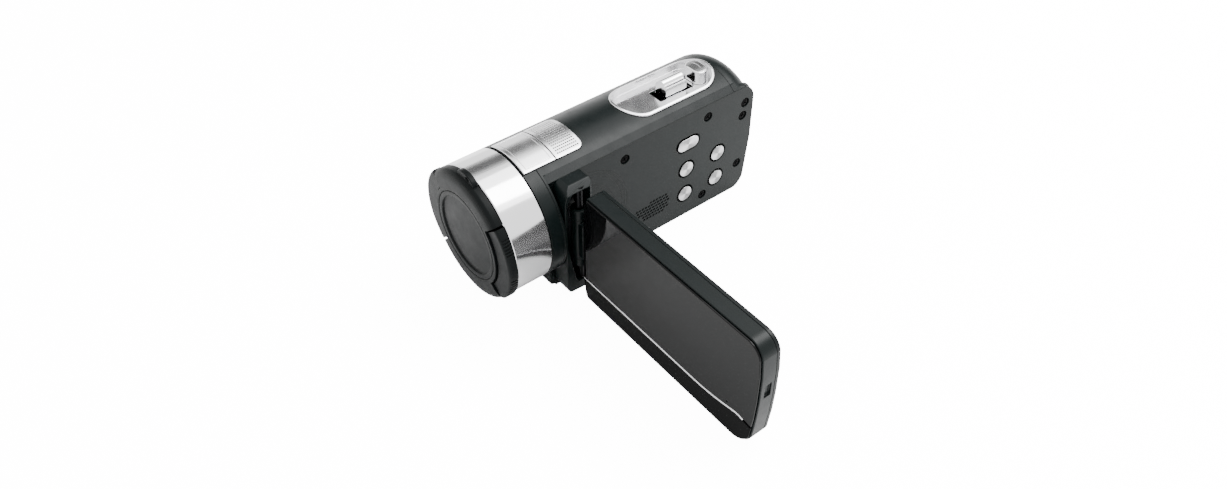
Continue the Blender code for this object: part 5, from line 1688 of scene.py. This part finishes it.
@dataclass
class GripSide(SubAssembly):
    """The battery door, the strap bars and the tripod bush."""

    def door(self) -> Solid:
        """The door with rounded corners and grip ridges."""
        box = Extent.of("battery_door")
        outline = rounded((box.low.y, box.low.z), (box.high.y, box.high.z), (1.1,) * 4)
        door = Solid.extruded(outline, Axis.X, box.low.x, box.high.x).bevel(0.25, 3, 50.0)
        ridges = [
            Solid.extruded(
                oblong((box.high.y - 4.0 - 1.1 * step, box.middle.z), (0.3, 4.2), 8),
                Axis.X,
                box.low.x - 1.0,
                box.low.x + 0.35,
            )
            for step in range(6)
        ]
        return door.cut(Solid.merged(ridges))

    def bush(self) -> Solid:
        """The bush with its thread as a stack of fine grooves."""
        box = Extent.of("tripod_bush")
        outer = box.size.x / 2
        low, high = box.low.z, box.high.z
        profile = [(outer, low), (outer, high), (3.2, high)]
        for step in range(9):
            place = high - 0.5 - step * 0.75
            profile += [(3.2, place), (2.95, place - 0.35)]
        profile += [(3.3, low + 0.15), (3.6, low)]
        return Solid.turned(profile, Axis.Z, (box.middle.x, box.middle.y), 72)

    def build(self) -> None:
        """Build the grip side's pieces."""
        Piece("battery_hatch", "battery_lid", "black_satin", ("battery_door",)).make(self.door(), SATIN_BLACK)
        Piece("tripod_socket", "body", "brass", ("tripod_bush",)).make(self.bush(), BRASS)
        for number in (1, 2):
            self.redress(f"strap_bar_{number}", SATIN_BLACK)


@dataclass
class Inside(SubAssembly):
    """What the shell hides: frame, board, battery and its tray."""

    finishes: dict[str, Finish] = field(
        default_factory=lambda: {
            "mid_frame": GREY_MOULDED,
            "battery": GREY_MOULDED,
            "battery_tray": GREY_MOULDED,
            "main_board": CIRCUIT,
        }
    )

    def build(self) -> None:
        """Dress the hidden CAD nodes."""
        for node, finish in self.finishes.items():
            self.redress(node, finish)


# --- Studio -----------------------------------------------------------------------------------


@dataclass
class Studio:
    """A pale floor, soft light and the camera."""

    place: tuple[float, float, float] = (0.23287, -0.19075, 0.27228)
    azimuth: float = 51.54
    elevation: float = 43.82
    roll: float = 0.12
    focal: float = 1015.09
    frame_width: float = 1227.0
    target: tuple[float, float, float] = (0.03, -0.01, 0.03)
    room: float = 1.9
    card_veil: float = 0.55
    floor_glow: float = 13.0

    def camera(self) -> None:
        """Set the camera at the given view."""
        turn, rise, roll = (math.radians(value) for value in (self.azimuth, self.elevation, self.roll))
        back = Vector((math.sin(turn) * math.cos(rise), -math.cos(turn) * math.cos(rise), math.sin(rise)))
        right = (-back).cross(Vector((0.0, 0.0, 1.0))).normalized()
        up = right.cross(-back)
        right, up = right * math.cos(roll) + up * math.sin(roll), up * math.cos(roll) - right * math.sin(roll)
        pose = Matrix((right, up, back)).transposed().to_4x4()
        pose.translation = Vector(self.place)
        data = bpy.data.cameras.new("studio camera")
        data.sensor_width = 36.0
        data.lens = 36.0 * self.focal / self.frame_width
        data.clip_start, data.clip_end = 0.001, 10.0
        made = bpy.data.objects.new("studio camera", data)
        bpy.context.scene.collection.objects.link(made)
        made.matrix_world = pose
        bpy.context.scene.camera = made

    def floor(self) -> None:
        """Lay a large pale floor just under the feet."""
        bm = bmesh.new()
        bmesh.ops.create_grid(bm, x_segments=1, y_segments=1, size=6.0)
        bmesh.ops.translate(bm, vec=Vector((0.0, 0.0, -0.0005)), verts=bm.verts)
        mesh = bpy.data.meshes.new("floor")
        bm.to_mesh(mesh)
        bm.free()
        graph = Graph("pale_floor")
        tone = graph.blend(graph.noise(400.0), (0.93, 0.93, 0.93), (0.95, 0.95, 0.95))
        graph.link(tone, graph.shader.inputs["Base Color"])
        graph.shader.inputs["Roughness"].default_value = 0.9
        graph.shader.inputs["Specular IOR Level"].default_value = 0.0
        seen = graph.add("ShaderNodeLightPath").outputs["Is Camera Ray"]
        graph.link(graph.span(seen, 0.0, self.floor_glow, 0.0, 1.0), graph.shader.inputs["Emission Strength"])
        graph.shader.inputs["Emission Color"].default_value = (1.0, 1.0, 1.0, 1.0)
        mesh.materials.append(graph.material)
        made = bpy.data.objects.new("floor", mesh)
        bpy.context.scene.collection.objects.link(made)

    def light(self, name: str, direction: Colour, distance: float, size: Point, power: float) -> None:
        """Aim a soft rectangular light at the object."""
        data = bpy.data.lights.new(name, "AREA")
        data.shape = "RECTANGLE"
        data.size, data.size_y = size
        data.energy = power
        made = bpy.data.objects.new(name, data)
        bpy.context.scene.collection.objects.link(made)
        aim = Vector(direction).normalized()
        made.location = Vector(self.target) + aim * distance
        made.rotation_euler = aim.to_track_quat("Z", "Y").to_euler()
        made.visible_camera = False

    def card(self, name: str, direction: Colour, distance: float, size: Point) -> None:
        """Stand a dark card that only reflections see."""
        bm = bmesh.new()
        bmesh.ops.create_grid(bm, x_segments=1, y_segments=1, size=0.5)
        bmesh.ops.scale(bm, vec=Vector((*size, 1.0)), verts=bm.verts)
        aim = Vector(direction).normalized()
        turn = aim.to_track_quat("Z", "Y").to_matrix()
        bmesh.ops.rotate(bm, cent=Vector(), matrix=turn, verts=bm.verts)
        bmesh.ops.translate(bm, vec=Vector(self.target) + aim * distance, verts=bm.verts)
        mesh = bpy.data.meshes.new(name)
        bm.to_mesh(mesh)
        bm.free()
        graph = Graph(name)
        tone = graph.blend(graph.noise(80.0), (0.0, 0.0, 0.0), (0.002, 0.002, 0.002))
        graph.link(tone, graph.shader.inputs["Base Color"])
        graph.shader.inputs["Specular IOR Level"].default_value = 0.0
        graph.shader.inputs["Alpha"].default_value = self.card_veil
        mesh.materials.append(graph.material)
        made = bpy.data.objects.new(name, mesh)
        bpy.context.scene.collection.objects.link(made)
        made.visible_camera = False
        made.visible_diffuse = False
        made.visible_shadow = False

    def surroundings(self) -> None:
        """Fill the room with even white light."""
        world = bpy.data.worlds.new("white room")
        world.use_nodes = True
        background = world.node_tree.nodes["Background"]
        background.inputs["Color"].default_value = (1.0, 1.0, 1.0, 1.0)
        background.inputs["Strength"].default_value = self.room
        bpy.context.scene.world = world

    def build(self) -> None:
        """Set up the whole studio."""
        self.camera()
        self.floor()
        self.surroundings()
        self.light("sheen box", (0.17, 0.449, 0.88), 0.9, (0.42, 0.5), 7.0)
        self.light("broad box", (0.05, 0.449, 0.893), 1.0, (1.1, 0.7), 7.0)
        for number, height in enumerate((0.44, 0.32, 0.2)):
            self.card(f"band card {number + 1}", (-0.697, 0.449, 0.56), 0.86 + 0.02 * number, (1.9, height))
        log.info("studio: camera, floor, light and card are set")


def write_sizes() -> None:
    """Update the view layer."""
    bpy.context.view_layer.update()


def main() -> None:
    """Build the studio and every sub-assembly in order."""
    Studio().build()
    groups: tuple[SubAssembly, ...] = (
        BodyShell(),
        SidePanel(),
        SideControls(),
        TopTrim(),
        TopControls(),
        Hinge(),
        ScreenPanel(),
        Optics(),
        LensCap(),
        RearControls(),
        GripSide(),
        Inside(),
    )
    for group in groups:
        group.build()
        log.info("%s is finished", type(group).__name__)
    write_sizes()


if __name__ == "__main__":
    main()
